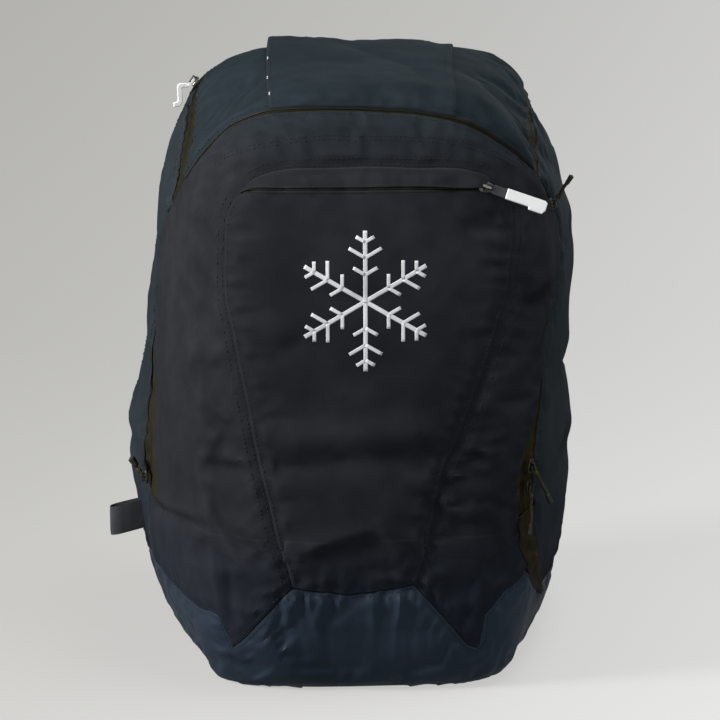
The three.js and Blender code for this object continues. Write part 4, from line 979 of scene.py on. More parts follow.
def hard(name, dark, light, rough, scale, metal=0.0, bump=0.15, wear=None, coat=0.0):
    """Plastic or metal; wear is the colour of rubbed edges."""
    mat = Material(name)
    pos = mat.coords()["Object"]
    mottle = mat.rise(mat.noise(pos, scale, detail=5.0, rough=0.65), 0.3, 0.7)
    colour = mat.mix(mottle, srgb(dark), srgb(light))
    if wear:
        colour = mat.stain(colour, mat.worn(0.52, 0.62), amount=0.7, to=srgb(wear))
    normal_out = mat.bump(mat.noise(pos, scale * 9), strength=bump, distance=0.0002)
    rough_out = mat.spread(mat.noise(pos, scale * 2.5, detail=4.0), width=0.22,
                           low=rough - 0.11)
    return mat.finish(colour, rough_out, normal_out, Metallic=metal, Coat_Weight=coat)


def spacer(name, dark, light):
    """Air mesh: a net of small holes over foam."""
    mat = Material(name)
    pos = mat.coords()["Object"]
    cells = mat.node("ShaderNodeTexVoronoi", Vector=pos, Scale=330.0).outputs[0]
    holes = mat.fall(cells, 0.25, 0.45)
    mottle = mat.rise(mat.noise(pos, scale=12.0, detail=4.0), 0.3, 0.7)
    colour = mat.mix(mottle, srgb(dark), srgb(light))
    colour = mat.mix(holes, colour, (0.004, 0.004, 0.005, 1))
    fuzz = mat.times(mat.noise(pos, scale=1200.0, detail=2.0), 0.3)
    normal_out = mat.bump(mat.math("SUBTRACT", fuzz, holes), strength=0.7, distance=0.0006)
    return mat.finish(colour, 0.9, normal_out, Sheen_Weight=0.2, Specular_IOR_Level=0.2)


def thread(name, dark, light):
    mat = Material(name)
    pos = mat.coords()["Object"]
    colour = mat.mix(mat.noise(pos, scale=700.0), srgb(dark), srgb(light))
    fibres = mat.noise(pos, scale=3500.0, detail=2.0)
    normal_out = mat.bump(fibres, strength=0.4, distance=0.0001)
    return mat.finish(colour, 0.55, normal_out, Sheen_Weight=0.0, Specular_IOR_Level=0.2)


# End colours for the front and side cloth: the first is painted light from above on the top, also
# laid on the bottom; the second goes on the bottom.
PAINTED_TOP_LIGHT_AND_BOTTOM_TINT = ((31, 43, 50), (34, 38, 50))
TAPE_RIBS = dict(across=0.0011, along=0.0009, bump=0.35, rough=0.7)
FRONT = fabric("front_fabric", (30, 31, 35), (42, 43, 47), painted_top_light_and_bottom_tint=PAINTED_TOP_LIGHT_AND_BOTTOM_TINT)
SIDE = fabric("side_fabric", (33, 42, 47), (43, 52, 58), painted_top_light_and_bottom_tint=PAINTED_TOP_LIGHT_AND_BOTTOM_TINT)
LID = fabric("lid_fabric", (25, 36, 41), (34, 45, 51))
BACK = fabric("back_fabric", (33, 35, 39), (40, 42, 47), pitch=0.0014)
LINING = fabric("lining", (88, 92, 98), (104, 108, 113), pitch=0.0008, rough=0.6, bump=0.2,
                sheen=0.1)
TARP = tarpaulin("tarpaulin")
# One olive zip tape in three copies: the plain and the left ones are painted darker than the wide
# one, painted shade to offset the strong key light on the upper and left zips.
TAPE_PAINTED_SHADE = ribbed("zip_tape", (25, 24, 15), (33, 31, 20), **TAPE_RIBS)
TAPE_WIDE = ribbed("zip_tape_wide", (40, 34, 14), (52, 44, 19), **TAPE_RIBS)
TAPE_LEFT_PAINTED_SHADE = ribbed("zip_tape_left_painted_shade", (29, 26, 14), (41, 37, 21), **TAPE_RIBS)
PIPING = thread("zip_piping", (31, 28, 18), (44, 38, 23))
THREAD = thread("thread", (30, 34, 40), (42, 46, 52))
WHITE_THREAD = thread("white_thread", (205, 208, 210), (232, 232, 230))
WEB = ribbed("webbing", (40, 42, 46), (52, 54, 58), bump=0.8)
LOOP_WEB = ribbed("loop_webbing", (62, 65, 68), (78, 81, 84), bump=0.8)
MESH = spacer("air_mesh", (44, 47, 52), (54, 57, 62))
BIND = ribbed("binding", (30, 32, 36), (40, 42, 46), across=0.0016, along=0.001, bump=0.5)
WHITE = hard("white_plastic", (236, 236, 233), (246, 246, 244), rough=0.42, scale=90,
             bump=0.08, coat=0.1)
BLACK = hard("black_plastic", (18, 18, 19), (30, 30, 31), rough=0.5, scale=140, bump=0.2,
             wear=(70, 70, 70))
METAL_DARK = hard("slider_metal_dark", (46, 43, 36), (72, 67, 58), rough=0.4, scale=200,
                  metal=0.85, wear=(98, 92, 80))
METAL = hard("slider_metal", (70, 64, 54), (104, 98, 88), rough=0.36, scale=200, metal=0.9,
             wear=(190, 184, 172))
EYELET = hard("eyelet_metal", (120, 120, 118), (150, 150, 148), rough=0.34, scale=120,
              metal=1.0, wear=(200, 200, 200))
BOARD = hard("board_plastic", (40, 41, 43), (52, 53, 55), rough=0.55, scale=60, bump=0.3,
             wear=(90, 90, 90))
KNOB = hard("pull_end_plastic", (24, 22, 15), (37, 34, 23), rough=0.55, scale=140, bump=0.25,
            wear=(58, 54, 42))
CORD = thread("cord", (44, 40, 24), (70, 64, 40))
PRINT = fabric("print_ink", (232, 233, 234), (244, 245, 245), rough=0.5, bump=0.15, grain=0.06)


# ------------------------------------------------- cloth: the stuffed skin, held at its seams
def cube_sphere(count):
    """Unit directions and faces of a sphere made of six square grids."""
    steps = np.tan(np.linspace(-1, 1, count + 1) * math.pi / 4)
    a, b = np.meshgrid(steps, steps, indexing="ij")
    one = np.ones_like(a)
    sides = ((one, a, b), (-one, b, a), (b, one, a), (a, -one, b), (a, b, one), (b, a, -one))
    points = np.vstack([np.stack(side, -1).reshape(-1, 3) for side in sides])
    key = np.round(unit(points) * 1e5).astype(np.int64)
    _, first, inverse = np.unique(key, axis=0, return_index=True, return_inverse=True)
    inverse = inverse.ravel()
    quads = grid_faces(count + 1, count + 1)
    faces = np.vstack([inverse[quads + k * (count + 1) ** 2] for k in range(6)])
    return unit(points[first]), faces


def settle_cloth(obj, pressure, shrink, bending, pin=None, frames=20):
    """Runs a short cloth simulation and returns where the vertices end, in metres."""
    scene = bpy.context.scene
    scene.frame_start, scene.frame_end = 1, frames
    cloth = obj.modifiers.new("cloth", "CLOTH")
    settings = cloth.settings
    settings.quality = 5
    settings.mass = 0.3
    settings.tension_stiffness = settings.compression_stiffness = 15.0
    settings.shear_stiffness = 5.0
    settings.bending_stiffness = bending
    settings.effector_weights.gravity = 0
    settings.use_pressure = True
    settings.uniform_pressure_force = pressure
    settings.shrink_min = shrink
    if pin:
        settings.vertex_group_mass = pin
        settings.pin_stiffness = 8.0
    cloth.point_cache.frame_start, cloth.point_cache.frame_end = 1, frames
    for f in range(1, frames + 1):
        scene.frame_set(f)
    evaluated = obj.evaluated_get(bpy.context.evaluated_depsgraph_get())
    mesh = evaluated.to_mesh()
    ends = np.zeros(len(mesh.vertices) * 3)
    mesh.vertices.foreach_get("co", ends)
    evaluated.to_mesh_clear()
    obj.modifiers.remove(cloth)
    scene.frame_set(1)
    return ends.reshape(-1, 3)


def settle_skin():
    """The settled skin as a tree to cast rays at, or None if the simulation blew up."""
    ways, faces = cube_sphere(60)
    points = snap(CENTRE + ways * 10)
    skin = outward(make("skin_sim", points, faces, FRONT, sharp=0))
    held = np.zeros(len(points))
    for line in (LEFT_SIDE.pts[::2], ARC.pts[::2], RIGHT_SIDE.pts[::2], WEDGE_LEFT.pts[::3],
                 WEDGE_RIGHT.pts[::3], EDGE_FRONT[::2], EDGE_RIGHT[::3], EDGE_LEFT[::3],
                 POCKET_LEFT.pts[::2], POCKET_RIGHT.pts[::2], WELT.pts[::3]):
        dist, _, _ = near(points, line)
        held = np.maximum(held, np.clip(1.6 - dist / 6.0, 0, 1))
    held = np.maximum(held, np.clip((points[:, 1] - 104) / 8, 0, 1))
    held = np.maximum(held, np.clip((14 - points[:, 2]) / 8, 0, 1))
    held = np.round(held, 1)
    group = skin.vertex_groups.new(name="held")
    for weight in np.unique(held):
        if weight > 0:
            group.add([int(i) for i in np.where(held == weight)[0]], float(weight), "REPLACE")
    ends = settle_cloth(skin, pressure=2.5, shrink=-0.035, bending=0.6, pin="held") / MM
    bpy.data.objects.remove(skin)
    if not np.isfinite(ends).all():
        return None
    return BVHTree.FromPolygons([Vector(v) for v in ends],
                                [tuple(int(i) for i in face) for face in faces])


cloth_tree = settle_skin()


# ---------------------------------------------------------------- the tub
DRAIN_X, DRAIN_Y, DRAIN_RADIUS = 78, 20, 9.1
TUB_WALL = 4.0


def tub_grid():
    """Rings of points from the middle of the floor out and up to the tub's edge."""
    ring = np.vstack([EDGE_LEFT, EDGE_FRONT[1:], EDGE_RIGHT[1:], EDGE_BACK[1:-1]])
    level = snap(np.c_[ring[:, :2], np.full(len(ring), 58)])
    rows = []
    for r in np.r_[np.linspace(0.05, 0.72, 16), np.linspace(0.75, 0.985, 26), 0.992, 0.997, 1.0]:
        way = unit(level + (ring - level) * r**4 - CENTRE)
        angle = np.arccos(np.clip(way @ DOWN, -1, 1))[:, None]
        row = snap(CENTRE + (DOWN * np.sin((1 - r) * angle) / np.sin(angle)
                             + way * np.sin(r * angle) / np.sin(angle)) * 100)
        row[:, 2] = np.where(row[:, 2] < 1.2, 0, row[:, 2])
        rows.append(row)
    return vec(rows)


def build_tub():
    grid = tub_grid()
    floor = grid[..., 2] < 0.01
    height = np.where(floor, 0, relief(grid))
    out_way = normal(grid)
    out_way[floor] = DOWN
    along, up = lengths(grid)
    outer = height - roll(up[-1:] - up, 1.4)
    inner = np.minimum(outer - 0.4, height - TUB_WALL)
    outside = grid + out_way * outer[..., None]
    outside[..., 2] = np.maximum(outside[..., 2], 0)
    inside = grid + out_way * inner[..., None]
    rows, cols = grid.shape[:2]
    size = rows * cols
    verts = np.vstack([outside.reshape(-1, 3), inside.reshape(-1, 3), [[0, 0, 0]],
                       [[0, 0, TUB_WALL]]])
    col = np.arange(cols)
    after = (col + 1) % cols
    end = size - cols
    rim = np.stack([end + col, end + after, size + end + after, size + end + col], -1)
    faces = list(np.vstack([grid_faces(rows, cols, 0, True),
                            grid_faces(rows, cols, size, True, True), rim]))
    faces += [(2 * size, b, a) for a, b in zip(col, after)]
    faces += [(2 * size + 1, size + a, size + b) for a, b in zip(col, after)]
    index = [0] * end + [1] * end + [0] * 2 * cols + [1] * cols
    uv = np.stack([along, up], -1).reshape(-1, 2)
    uv = np.vstack([uv, uv, [[0, 0]], [[0, 0]]])
    return outward(make("base_tub_skin", verts, faces, [TARP, LINING], uv, index=index))


def cut_drain(tub, x):
    bpy.ops.mesh.primitive_cylinder_add(vertices=32, radius=DRAIN_RADIUS * MM, depth=0.03,
                                        location=(x * MM, DRAIN_Y * MM, 0))
    cutter = bpy.context.object
    hole = tub.modifiers.new("hole", "BOOLEAN")
    hole.operation, hole.object, hole.solver = "DIFFERENCE", cutter, "EXACT"
    evaluated = tub.evaluated_get(bpy.context.evaluated_depsgraph_get())
    mesh = bpy.data.meshes.new_from_object(evaluated)
    tub.modifiers.clear()
    tub.data = mesh
    bpy.data.objects.remove(cutter)


DOWN = vec([0.0, 0, -1])
tub = build_tub()
for x in (-DRAIN_X, DRAIN_X):
    cut_drain(tub, x)
place(tub, "shell", "base_tub")


# ---------------------------------------------------------------- panels
def front_angle(point):
    """Angle about the z axis, counted so that it runs on across the front."""
    return (math.atan2(point[1], point[0]) + 4 * math.pi - 1) % (2 * math.pi) + 1


FOLD_ANGLES = np.linspace(front_angle(LEFT_SIDE.pts[0]), front_angle(RIGHT_SIDE.pts[0]), 161)


def fold(z):
    """The front at height z, between the side zips."""
    return Path(ring_z(z, FOLD_ANGLES))


def front_line(start, end, z, count=40):
    return Path(front_at(np.linspace(start, end, count), z))


# Skirt between the tub's edge and the fold.
edge = Path(EDGE_FRONT)
skirt = strip(edge, fold(FOLD_Z - 0.4), edge.frac, fine(50, 3.2, (0, 0.4, 1.0, 2.0)))
place(slab("front_skirt_skin", skirt, [FRONT, LINING], edges="b", radius=1.5),
      "shell", "front_skirt")

# Front panel, from the fold up to the arc zip.
low = fold(FOLD_Z + 0.4)
FOLD_START = HALVES["left_flap"].width[0] / low.length
FOLD_END = 1 - HALVES["right_flap"].width[0] / low.length
grid = panel(low.part(FOLD_START, FOLD_END), HALVES["arc_flap"].edge(),
             HALVES["left_flap"].edge(), HALVES["right_flap"].edge(), 3.2)
place(slab("front_panel_skin", grid, [FRONT, LINING], edges="lrt", radius=1.7),
      "front_flap", "front_panel")


def seam_angle(point):
    return (math.atan2(point[2] - MID_Z, point[0]) + 2.5 * math.pi) % (2 * math.pi) - math.pi / 2


def seam_ring(start, end, shift):
    """A stretch of the rear seam between two angles, moved along y."""
    return Path(ring_y(REAR_Y + shift, np.linspace(start, end, 121)))


# The rear seam's corners: at the tub's edge and beside the lid.
RIGHT_FOOT, RIGHT_TOP = seam_angle(TUB_EDGE[-1]), seam_angle(LID_REAR_RIGHT)
LEFT_TOP, LEFT_FOOT = seam_angle(LID_REAR_LEFT), seam_angle(TUB_EDGE[0])

# Lid.
grid = panel(ARC_LID.part(LID_LEFT, LID_RIGHT),
             seam_ring(LEFT_TOP, RIGHT_TOP, -0.3).part(0.014, 0.992),
             HALVES["wedge_left_lid"].edge().part(WEDGE_LEFT_START, 1),
             HALVES["wedge_right_lid"].edge().part(WEDGE_RIGHT_START, 1), 3.2)
place(slab("lid_panel_skin", grid, [LID, LINING], edges="lrb", radius=1.7),
      "lid", "lid_panel")

# Raised panel down the middle of the lid, standing higher at its rear left.
PAD_REAR_Y = 104


def pad_side(start, end, bow):
    x = np.linspace(start[0], end[0], 60) + bow * np.sin(np.linspace(0, np.pi, 60))
    return Path(top_at(x, np.linspace(start[1], end[1], 60)))


def pad_lift(pos):
    return 1.5 + (7.5 * np.clip((pos[..., 1] + 10) / 100, 0, 1) ** 1.4
                  * np.clip((70 - pos[..., 0]) / 130, 0.3, 1))


def pad_height(pos):
    return relief(pos) + pad_lift(pos)


arc = HALVES["arc_lid"].edge(0.5)
low = arc.part(*[float(np.interp(x, arc.pts[:, 0], arc.frac)) for x in (-74, 72)])
high = Path(top_at(np.linspace(-69, 87, 60), PAD_REAR_Y))
grid = between(low, high, pad_side(low.at(0), high.at(0), -2.5),
               pad_side(low.at(1), high.at(1), -2.0), fine(150, 3.2), fine(205, 3.2), corner=6)
place(slab("lid_centre_skin", grid, [LID, LINING], wall=2.2, radius=2.0, extra=pad_lift(grid)),
      "lid", "lid_centre_pad")
PAD_LEFT, PAD_RIGHT = [Path(grid[:, k]).part(0.01, 0.97) for k in (0, -1)]

# Sides and back.
low = Path(EDGE_RIGHT)
front = Path(np.vstack([low.at(0.02)[None], HALVES["right_body"].edge().pts]))
grid = between(low, HALVES["wedge_right_body"].edge().part(0.03, 1), front.part(0, 0.992),
               seam_ring(RIGHT_FOOT, RIGHT_TOP, -0.3), fine(330, 3.6), fine(370, 3.6))
place(slab("side_panel_right_skin", grid, [SIDE, LINING], radius=1.7),
      "shell", "side_panel_right")
low = Path(EDGE_LEFT)
front = Path(np.vstack([low.at(0.985)[None], HALVES["left_body"].edge().pts]))
grid = between(low, HALVES["wedge_left_body"].edge().reversed().part(0, 0.97),
               seam_ring(LEFT_FOOT, LEFT_TOP, -0.3), front.part(0, 0.992),
               fine(180, 3.4), fine(380, 3.4))
place(slab("side_panel_left_skin", grid, [SIDE, LINING], radius=1.7),
      "shell", "side_panel_left")
back_edge = Path(EDGE_BACK)
grid = between(back_edge, seam_ring(RIGHT_TOP, LEFT_TOP, 0.3),
               seam_ring(RIGHT_FOOT, RIGHT_TOP, 0.3), seam_ring(LEFT_FOOT, LEFT_TOP, 0.3),
               fine(back_edge.length, 5), fine(430, 4.2))
place(slab("back_panel_skin", grid, [BACK, LINING], wall=7.0, radius=1.7),
      "shell", "back_panel")


# Fabric that carries on over the two folds.
def fold_rows(start, end):
    return np.r_[start, start + 0.7, np.linspace(start + 2, end - 2, 12), end - 0.7, end]


def fold_skin(name, grid, mat, over, across, ramp=4.0, wall=1.0, lift=0.0):
    """Thin cloth sunk at its rims; over and across are (places, start, end)."""
    def inset(places, start, end):
        return np.minimum(places - start, end - places)
    fade = np.minimum(1, np.minimum(inset(*over) / 2.0, inset(*across) / ramp))
    return slab(name, grid, mat, wall=wall, radius=0.01, edges="",
                extra=lift + 0.10 - 0.7 * (1 - fade))


FRONT_FOLD = (FOLD_Z - 10.5, FOLD_Z + 10.5)
LID_FOLD = (101.0, 123.0)
front_rows = fold_rows(*FRONT_FOLD)
grid = np.stack([fold(z).part(FOLD_START + 0.004, FOLD_END - 0.004, 110).pts
                 for z in front_rows])
# The fade across is measured on the back edge's length.
span = back_edge.length * (FOLD_END - FOLD_START)
across = np.linspace(0, span, grid.shape[1])[None]
skin = fold_skin("front_fold_skin", grid, FRONT, (grid[..., 2], *FRONT_FOLD), (across, 0, span))
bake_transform(skin)
X, Y = np.meshgrid(np.linspace(-98, 98, 60), fold_rows(*LID_FOLD))
skin = fold_skin("lid_fold_skin", top_at(X, Y), LID, (Y, *LID_FOLD), (X, -98, 98))
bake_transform(skin)

# Pocket: the panel on the flap, its lower end on the skirt, and the flap over its zip.
POCKET_LIFT = 1.5
POCKET_CLOTH = dict(wall=1.7, lift=POCKET_LIFT, radius=1.3)
POCKET_LOW, FOOT_HIGH = FOLD_Z + 1.2, FOLD_Z - 1.2


def by_height(path, start, end):
    """The part of a rising path between two heights."""
    return path.part(*[float(np.interp(z, path.pts[:, 2], path.frac)) for z in (start, end)])


left, right = by_height(POCKET_LEFT, POCKET_LOW, 409), by_height(POCKET_RIGHT, POCKET_LOW, 407)
high = curve([left.at(1), *xyz("""-96 -127 413, -60 -131 415, -12 -134 416, 40 -133 415.5,
    85 -130 413.5, 103 -126 411"""), right.at(1)])
grid = panel(front_line(left.at(0)[0], right.at(0)[0], POCKET_LOW), high, left, right, 3.0)
place(slab("pocket_panel_skin", grid, FRONT, edges="lrt", **POCKET_CLOTH),
      "front_flap", "pocket_panel")

foot_left = by_height(POCKET_LEFT, 95.5, FOOT_HIGH)
foot_right = by_height(POCKET_RIGHT, 96.5, FOOT_HIGH)
inside = ((EDGE_FRONT[:, 0] > foot_left.at(0)[0]) & (EDGE_FRONT[:, 0] < foot_right.at(0)[0])
          & (EDGE_FRONT[:, 2] > 80))
low = Path(np.vstack([foot_left.at(0), EDGE_FRONT[inside] + vec([0, 0, 0.6]),
                      foot_right.at(0)]))
high = front_line(foot_left.at(1)[0], foot_right.at(1)[0], FOOT_HIGH)
grid = between(low, high, foot_left, foot_right, fine(104, 3.0), fine(34, 2.6))
place(slab("pocket_foot_skin", grid, FRONT, edges="lrb", **POCKET_CLOTH), "shell")

X, Z = np.meshgrid(np.linspace(-66.5, 45.5, 46), front_rows)
X = X + 0.35 * (FOLD_Z - Z) * X / 60 * 0.25
skin = fold_skin("pocket_fold_skin", front_at(X, Z), FRONT, (Z, *FRONT_FOLD), (X, -68.5, 47.5),
                 ramp=2.0, wall=0.8, lift=POCKET_LIFT)
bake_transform(skin)

low = curve(xyz("""-99 -126 412.8, -88 -127 415, -66 -131 417, -12 -134 418, 24 -133 417.5,
    50 -132 417, 80 -130 415, 95 -127 414"""))
rows = vec([0, 0.03, 0.08, 0.15, 0.25, 0.37, 0.5, 0.63, 0.75, 0.86, 0.94, 1.0])
grid = strip(low, WELT.part(0.02, 0.955), fine(200, 2.8), rows, corner=4)
up = np.linspace(0, 1, len(rows))[:, None]
lip = (1.6 + 1.5 * (1 - up) ** 2 + 2.6 * bump_at(grid, (72, -129, 431), 20)
       + 1.2 * bump_at(grid, (90, -127, 420), 14))
place(slab("pocket_zip_flap_skin", grid, FRONT, wall=1.3, radius=1.2, extra=lip),
      "front_flap", "pocket_zip_flap")

# ---------------------------------------------------------------- zips
BEAD_COLS = vec([0.0, 0.25, 0.6, 1.0, 1.5, 2.0, 2.5, 3.0])  # distances over the coil's bead
TAPE_COLS = vec([0.15, 0.3, 0.45, 0.6, 0.75, 0.88, 1.0])  # shares of the flat tape beyond
TAPE_THICK = 0.9


def sideways(path):
    return unit(np.cross(normal(path.pts), unit(np.gradient(path.pts, axis=0))))


def zip_tape(name, path, half_width, side, mat, lift=-2.0):
    """One half of a zip: tape with the coil's bead along its inner edge, ribbed by the coil."""
    count = int(path.length / 0.9)
    line = path.part(0, 1, count)
    width = np.interp(line.frac, path.frac, half_width)
    full = np.maximum(width, 2.2)
    dist = np.c_[np.tile(BEAD_COLS, (count + 1, 1)),
                 3.0 + np.outer(full + 1.8 - 3.0, TAPE_COLS)]
    grid = snap(line.pts[:, None] + (sideways(line) * side)[:, None] * dist[..., None])
    narrow = np.clip((width - 0.8) / 2.5, 0.35, 1)[:, None]
    rib = 0.5 + 0.5 * np.sin(np.arange(count + 1) * math.pi * 0.97)[:, None]
    height = (narrow * (0.85 + 0.3 * rib) * np.exp(-(((dist - 1.35) / 0.85) ** 2))
              - 0.55 * np.exp(-((dist / 0.3) ** 2)))
    # The flat tape rises outwards and ripples along its length.
    wide = np.clip((dist - 3) / full[:, None], 0, 1)
    ripple = 0.5 * np.sin(line.dist / 7.3 + 1.7 * np.sin(line.dist / 19.0))[:, None]
    height = (height + 0.5 * wide
              + ripple * np.sin(np.pi * wide) * np.clip(width / 8, 0, 1)[:, None])
    out_way, base = normal(grid), relief(grid) + lift
    return sheet_object(name, grid + out_way * (height + base)[..., None],
                        grid + out_way * (base - TAPE_THICK)[..., None], mat, line.dist, dist)


ZIPS = {  # name in the frame and tape
    "left": ("side_zip_left", TAPE_LEFT_PAINTED_SHADE), "right": ("side_zip_right", TAPE_WIDE),
    "arc": ("arc_zip", TAPE_PAINTED_SHADE), "wedge_left": ("lid_zip_left", TAPE_PAINTED_SHADE),
    "wedge_right": ("lid_zip_right", TAPE_PAINTED_SHADE),
}
for key, half in HALVES.items():
    which, part = key.rsplit("_", 1)
    name = ZIPS[which][0] + "_" + part
    place(zip_tape(name + "_tape", half.path, half.width, half.side, ZIPS[which][1]),
          half.body, name + "_half")
for key, half in HALVES.items():
    rim = half.path.moved(half.side * (half.width * 0.97 - 0.1))
    if half.shown:
        rim = rim.part(*half.shown)
    piping(key + "_piping", rim, -1.0, half.body)


def build_tail():
    """The wide lower end of the right zip, over skirt, tub and side panel."""
    line = TAIL.part(0, 1, 90)
    side = sideways(line)
    half = np.interp(line.frac, [0, 0.5, 0.9, 1], [12.0, 10.4, 8.4, 5.4])[:, None]
    shift = (np.interp(line.frac, [0, 0.5], [0.4, 0])
             * np.sign(np.dot(side[0], vec([1.0, 0.3, 0]))))[:, None]
    shares = vec([0.03, 0.1, 0.25, 0.5, 0.8, 0.94, 1])
    off = half * np.r_[-shares[::-1], shares][None]
    dist = shift + off
    rib = 0.5 + 0.5 * np.sin(np.arange(91) * math.pi * 0.9)[:, None]
    height = (0.75 + 0.7 * (0.8 + 0.2 * rib) * np.exp(-(((np.abs(off) - 1.4) / 0.8) ** 2))
              - 0.4 * np.exp(-((off / 0.3) ** 2)) - 0.5 * (np.abs(off) / half) ** 8)
    grid = snap(line.pts[:, None] + side[:, None] * dist[..., None])
    out_way, base = normal(grid), relief(grid)
    tape = sheet_object("side_zip_right_tail_tape", grid + out_way * (height + base)[..., None],
                        grid + out_way * (base - TAPE_THICK)[..., None], TAPE_WIDE,
                        line.dist, dist + 10)
    place(tape, "shell", "side_zip_right_tail")
    piping("tail_piping_a", Path(grid[:, 0]), 0.35, "shell")
    piping("tail_piping_b", Path(grid[:, -1]), 0.35, "shell")


build_tail()

# Pocket zip.
line = front_line(-96, 102, 415.2, 201)
for name, side, nodes in (("pocket_zip_chain_tape", 1, ["pocket_zip_chain"]),
                          ("pocket_zip_chain_tape_low", -1, [])):
    place(zip_tape(name, line, np.full(201, 2.6), side, TAPE_PAINTED_SHADE, lift=1.0), "front_flap", *nodes)


# ---------------------------------------------------------------- stitching
def pocket_height(pos):
    return relief(pos) + POCKET_LIFT


def zip_stitch(key, extra, start, end):
    return stitch(HALVES[key].edge(extra).part(start, end))


on_flap, on_shell = [], []
for shift, height in ((2.6, pocket_height), (-2.4, relief), (-8.0, relief)):
    on_flap += stitch(left.moved(-shift), height=height)
    on_flap += stitch(right.moved(shift), height=height)
    on_shell += stitch(foot_left.part(0.08, 1).moved(-shift), height=height)
    on_shell += stitch(foot_right.part(0.08, 1).moved(shift), height=height)
for shift in (1.8, 7.0):
    on_flap += stitch(WELT.part(0.05, 0.92).moved(shift))
on_flap += stitch(ARC_STITCH) + stitch(ARC_STITCH.moved(-3.2))
on_flap += zip_stitch("arc_flap", 3.4, 0.02, 0.98)
on_flap += zip_stitch("left_flap", 3.6, 0.02, 0.98)
on_flap += zip_stitch("right_flap", 3.6, 0.02, 0.98)
stitches("flap_stitching", on_flap, THREAD, "front_flap")

on_lid = zip_stitch("arc_lid", 3.4, LID_LEFT + 0.01, LID_RIGHT - 0.01)
on_lid += zip_stitch("wedge_left_lid", 3.4, WEDGE_LEFT_START + 0.04, 0.97)
on_lid += zip_stitch("wedge_right_lid", 3.4, WEDGE_RIGHT_START + 0.04, 0.97)
on_lid += stitch(PAD_LEFT.moved(-4.0), height=pad_height)
on_lid += stitch(PAD_RIGHT.moved(4.0), height=pad_height)
stitches("lid_stitching", on_lid, THREAD, "lid")

on_shell += zip_stitch("wedge_left_body", 3.4, 0.05, 0.97)
on_shell += zip_stitch("wedge_right_body", 3.4, 0.05, 0.97)
on_shell += zip_stitch("left_body", 3.6, 0.02, 0.98)
on_shell += zip_stitch("right_body", 3.6, 0.02, 0.98)
for edge in (EDGE_FRONT, EDGE_RIGHT, EDGE_LEFT, EDGE_BACK):
    on_shell += stitch(Path(edge).moved(-3.0)) + stitch(Path(edge).moved(3.0))
for start, end in ((RIGHT_FOOT, RIGHT_TOP), (LEFT_FOOT, LEFT_TOP)):
    on_shell += stitch(seam_ring(start, end, 3.6).part(0.01, 0.99))
    on_shell += stitch(seam_ring(start, end, -3.6).part(0.03, 0.97))
on_shell += stitch(seam_ring(RIGHT_TOP, LEFT_TOP, 3.6).part(0.01, 0.99))
stitches("shell_stitching", on_shell, THREAD, "shell")

bartacks = []
for start, end in ((0.06, 0.13), (0.31, 0.37), (0.62, 0.66)):
    bartacks += stitch(PAD_LEFT.part(start, end).moved(-1.9), lift=0.3, pitch=4.2,
                       size=(3.9, 0.5, 0.4), height=pad_height)
stitches("lid_bartacks", bartacks, WHITE_THREAD, "lid")

# ---------------------------------------------------------------- emblem, printed
CRYSTAL_X, CRYSTAL_Z, CRYSTAL_RADIUS = -1.5, 330, 55
TWIGS = ((0.38, 0.20), (0.62, 0.27), (0.84, 0.15))  # place on the arm, length; of the radius


def crystal_bars():
    """Bars of a six-armed snow crystal, seven to an arm: start, end, width."""
    centre = vec([CRYSTAL_X, CRYSTAL_Z])
    heading = lambda angle: vec([math.cos(angle), math.sin(angle)])
    bars = []
    for k in range(6):
        angle = math.pi / 6 + k * math.pi / 3
        arm = heading(angle)
        bars.append((centre, centre + arm * CRYSTAL_RADIUS, 3.4))
        for along, length in TWIGS:
            start = centre + arm * CRYSTAL_RADIUS * along
            for sign in (-1, 1):
                twig = heading(angle + sign * math.pi / 3)
                bars.append((start, start + twig * CRYSTAL_RADIUS * length, 2.8))
    return bars


parts = []
for i, (start, end, width) in enumerate(crystal_bars()):
    length = np.linalg.norm(end - start)
    way = (end - start) / length
    first = -0.4 * width * (i % 7 == 0)  # the arms overlap at the centre
    along = np.linspace(first, length, max(2, int(length / 2.0)) + 1)
    cols = vec([-1, -0.5, 0, 0.5, 1]) * width / 2
    flat = (start + way * along[:, None, None]
            + vec([-way[1], way[0]]) * cols[None, :, None])
    grid = front_at(flat[..., 0], flat[..., 1])
    out_way = normal(grid)
    height = pocket_height(grid) + 0.16 + 0.012 * (i % 7)
    parts.append(sheet(grid + out_way * height[..., None],
                       grid + out_way * (height - 0.5)[..., None]))
verts, faces = merged(parts)
place(outward(make("snow_crystal_print", verts, faces, PRINT, verts[:, [0, 2]], 0)),
      "front_flap")


# ---------------------------------------------------------------- webbing, loop and handle
def ribbon(name, line, width, thick, mat, across=None, facing=None, cols=7):
    """Flat webbing with rounded selvedges, set by its width's direction or its face's."""
    line = np.asarray(line, float)
    if facing is not None:
        _, out_way, side = frames_along(line, facing)
    else:
        tangent, side, _ = frames_along(line, across)
        out_way = np.cross(side, tangent)
    x = np.linspace(-1, 1, cols)
    half = thick / 2 * np.sqrt(np.maximum(1 - np.abs(x) ** 8, 0.12))
    middle = line[:, None] + side[:, None] * (x * 0.5)[None, :, None] * width
    rise = out_way[:, None] * half[None, :, None]
    return sheet_object(name, middle + rise, middle - rise, mat, Path(line).dist,
                        x * width / 2)


def free_curve(points, count):
    return curve(points, count, on_surface=False).pts


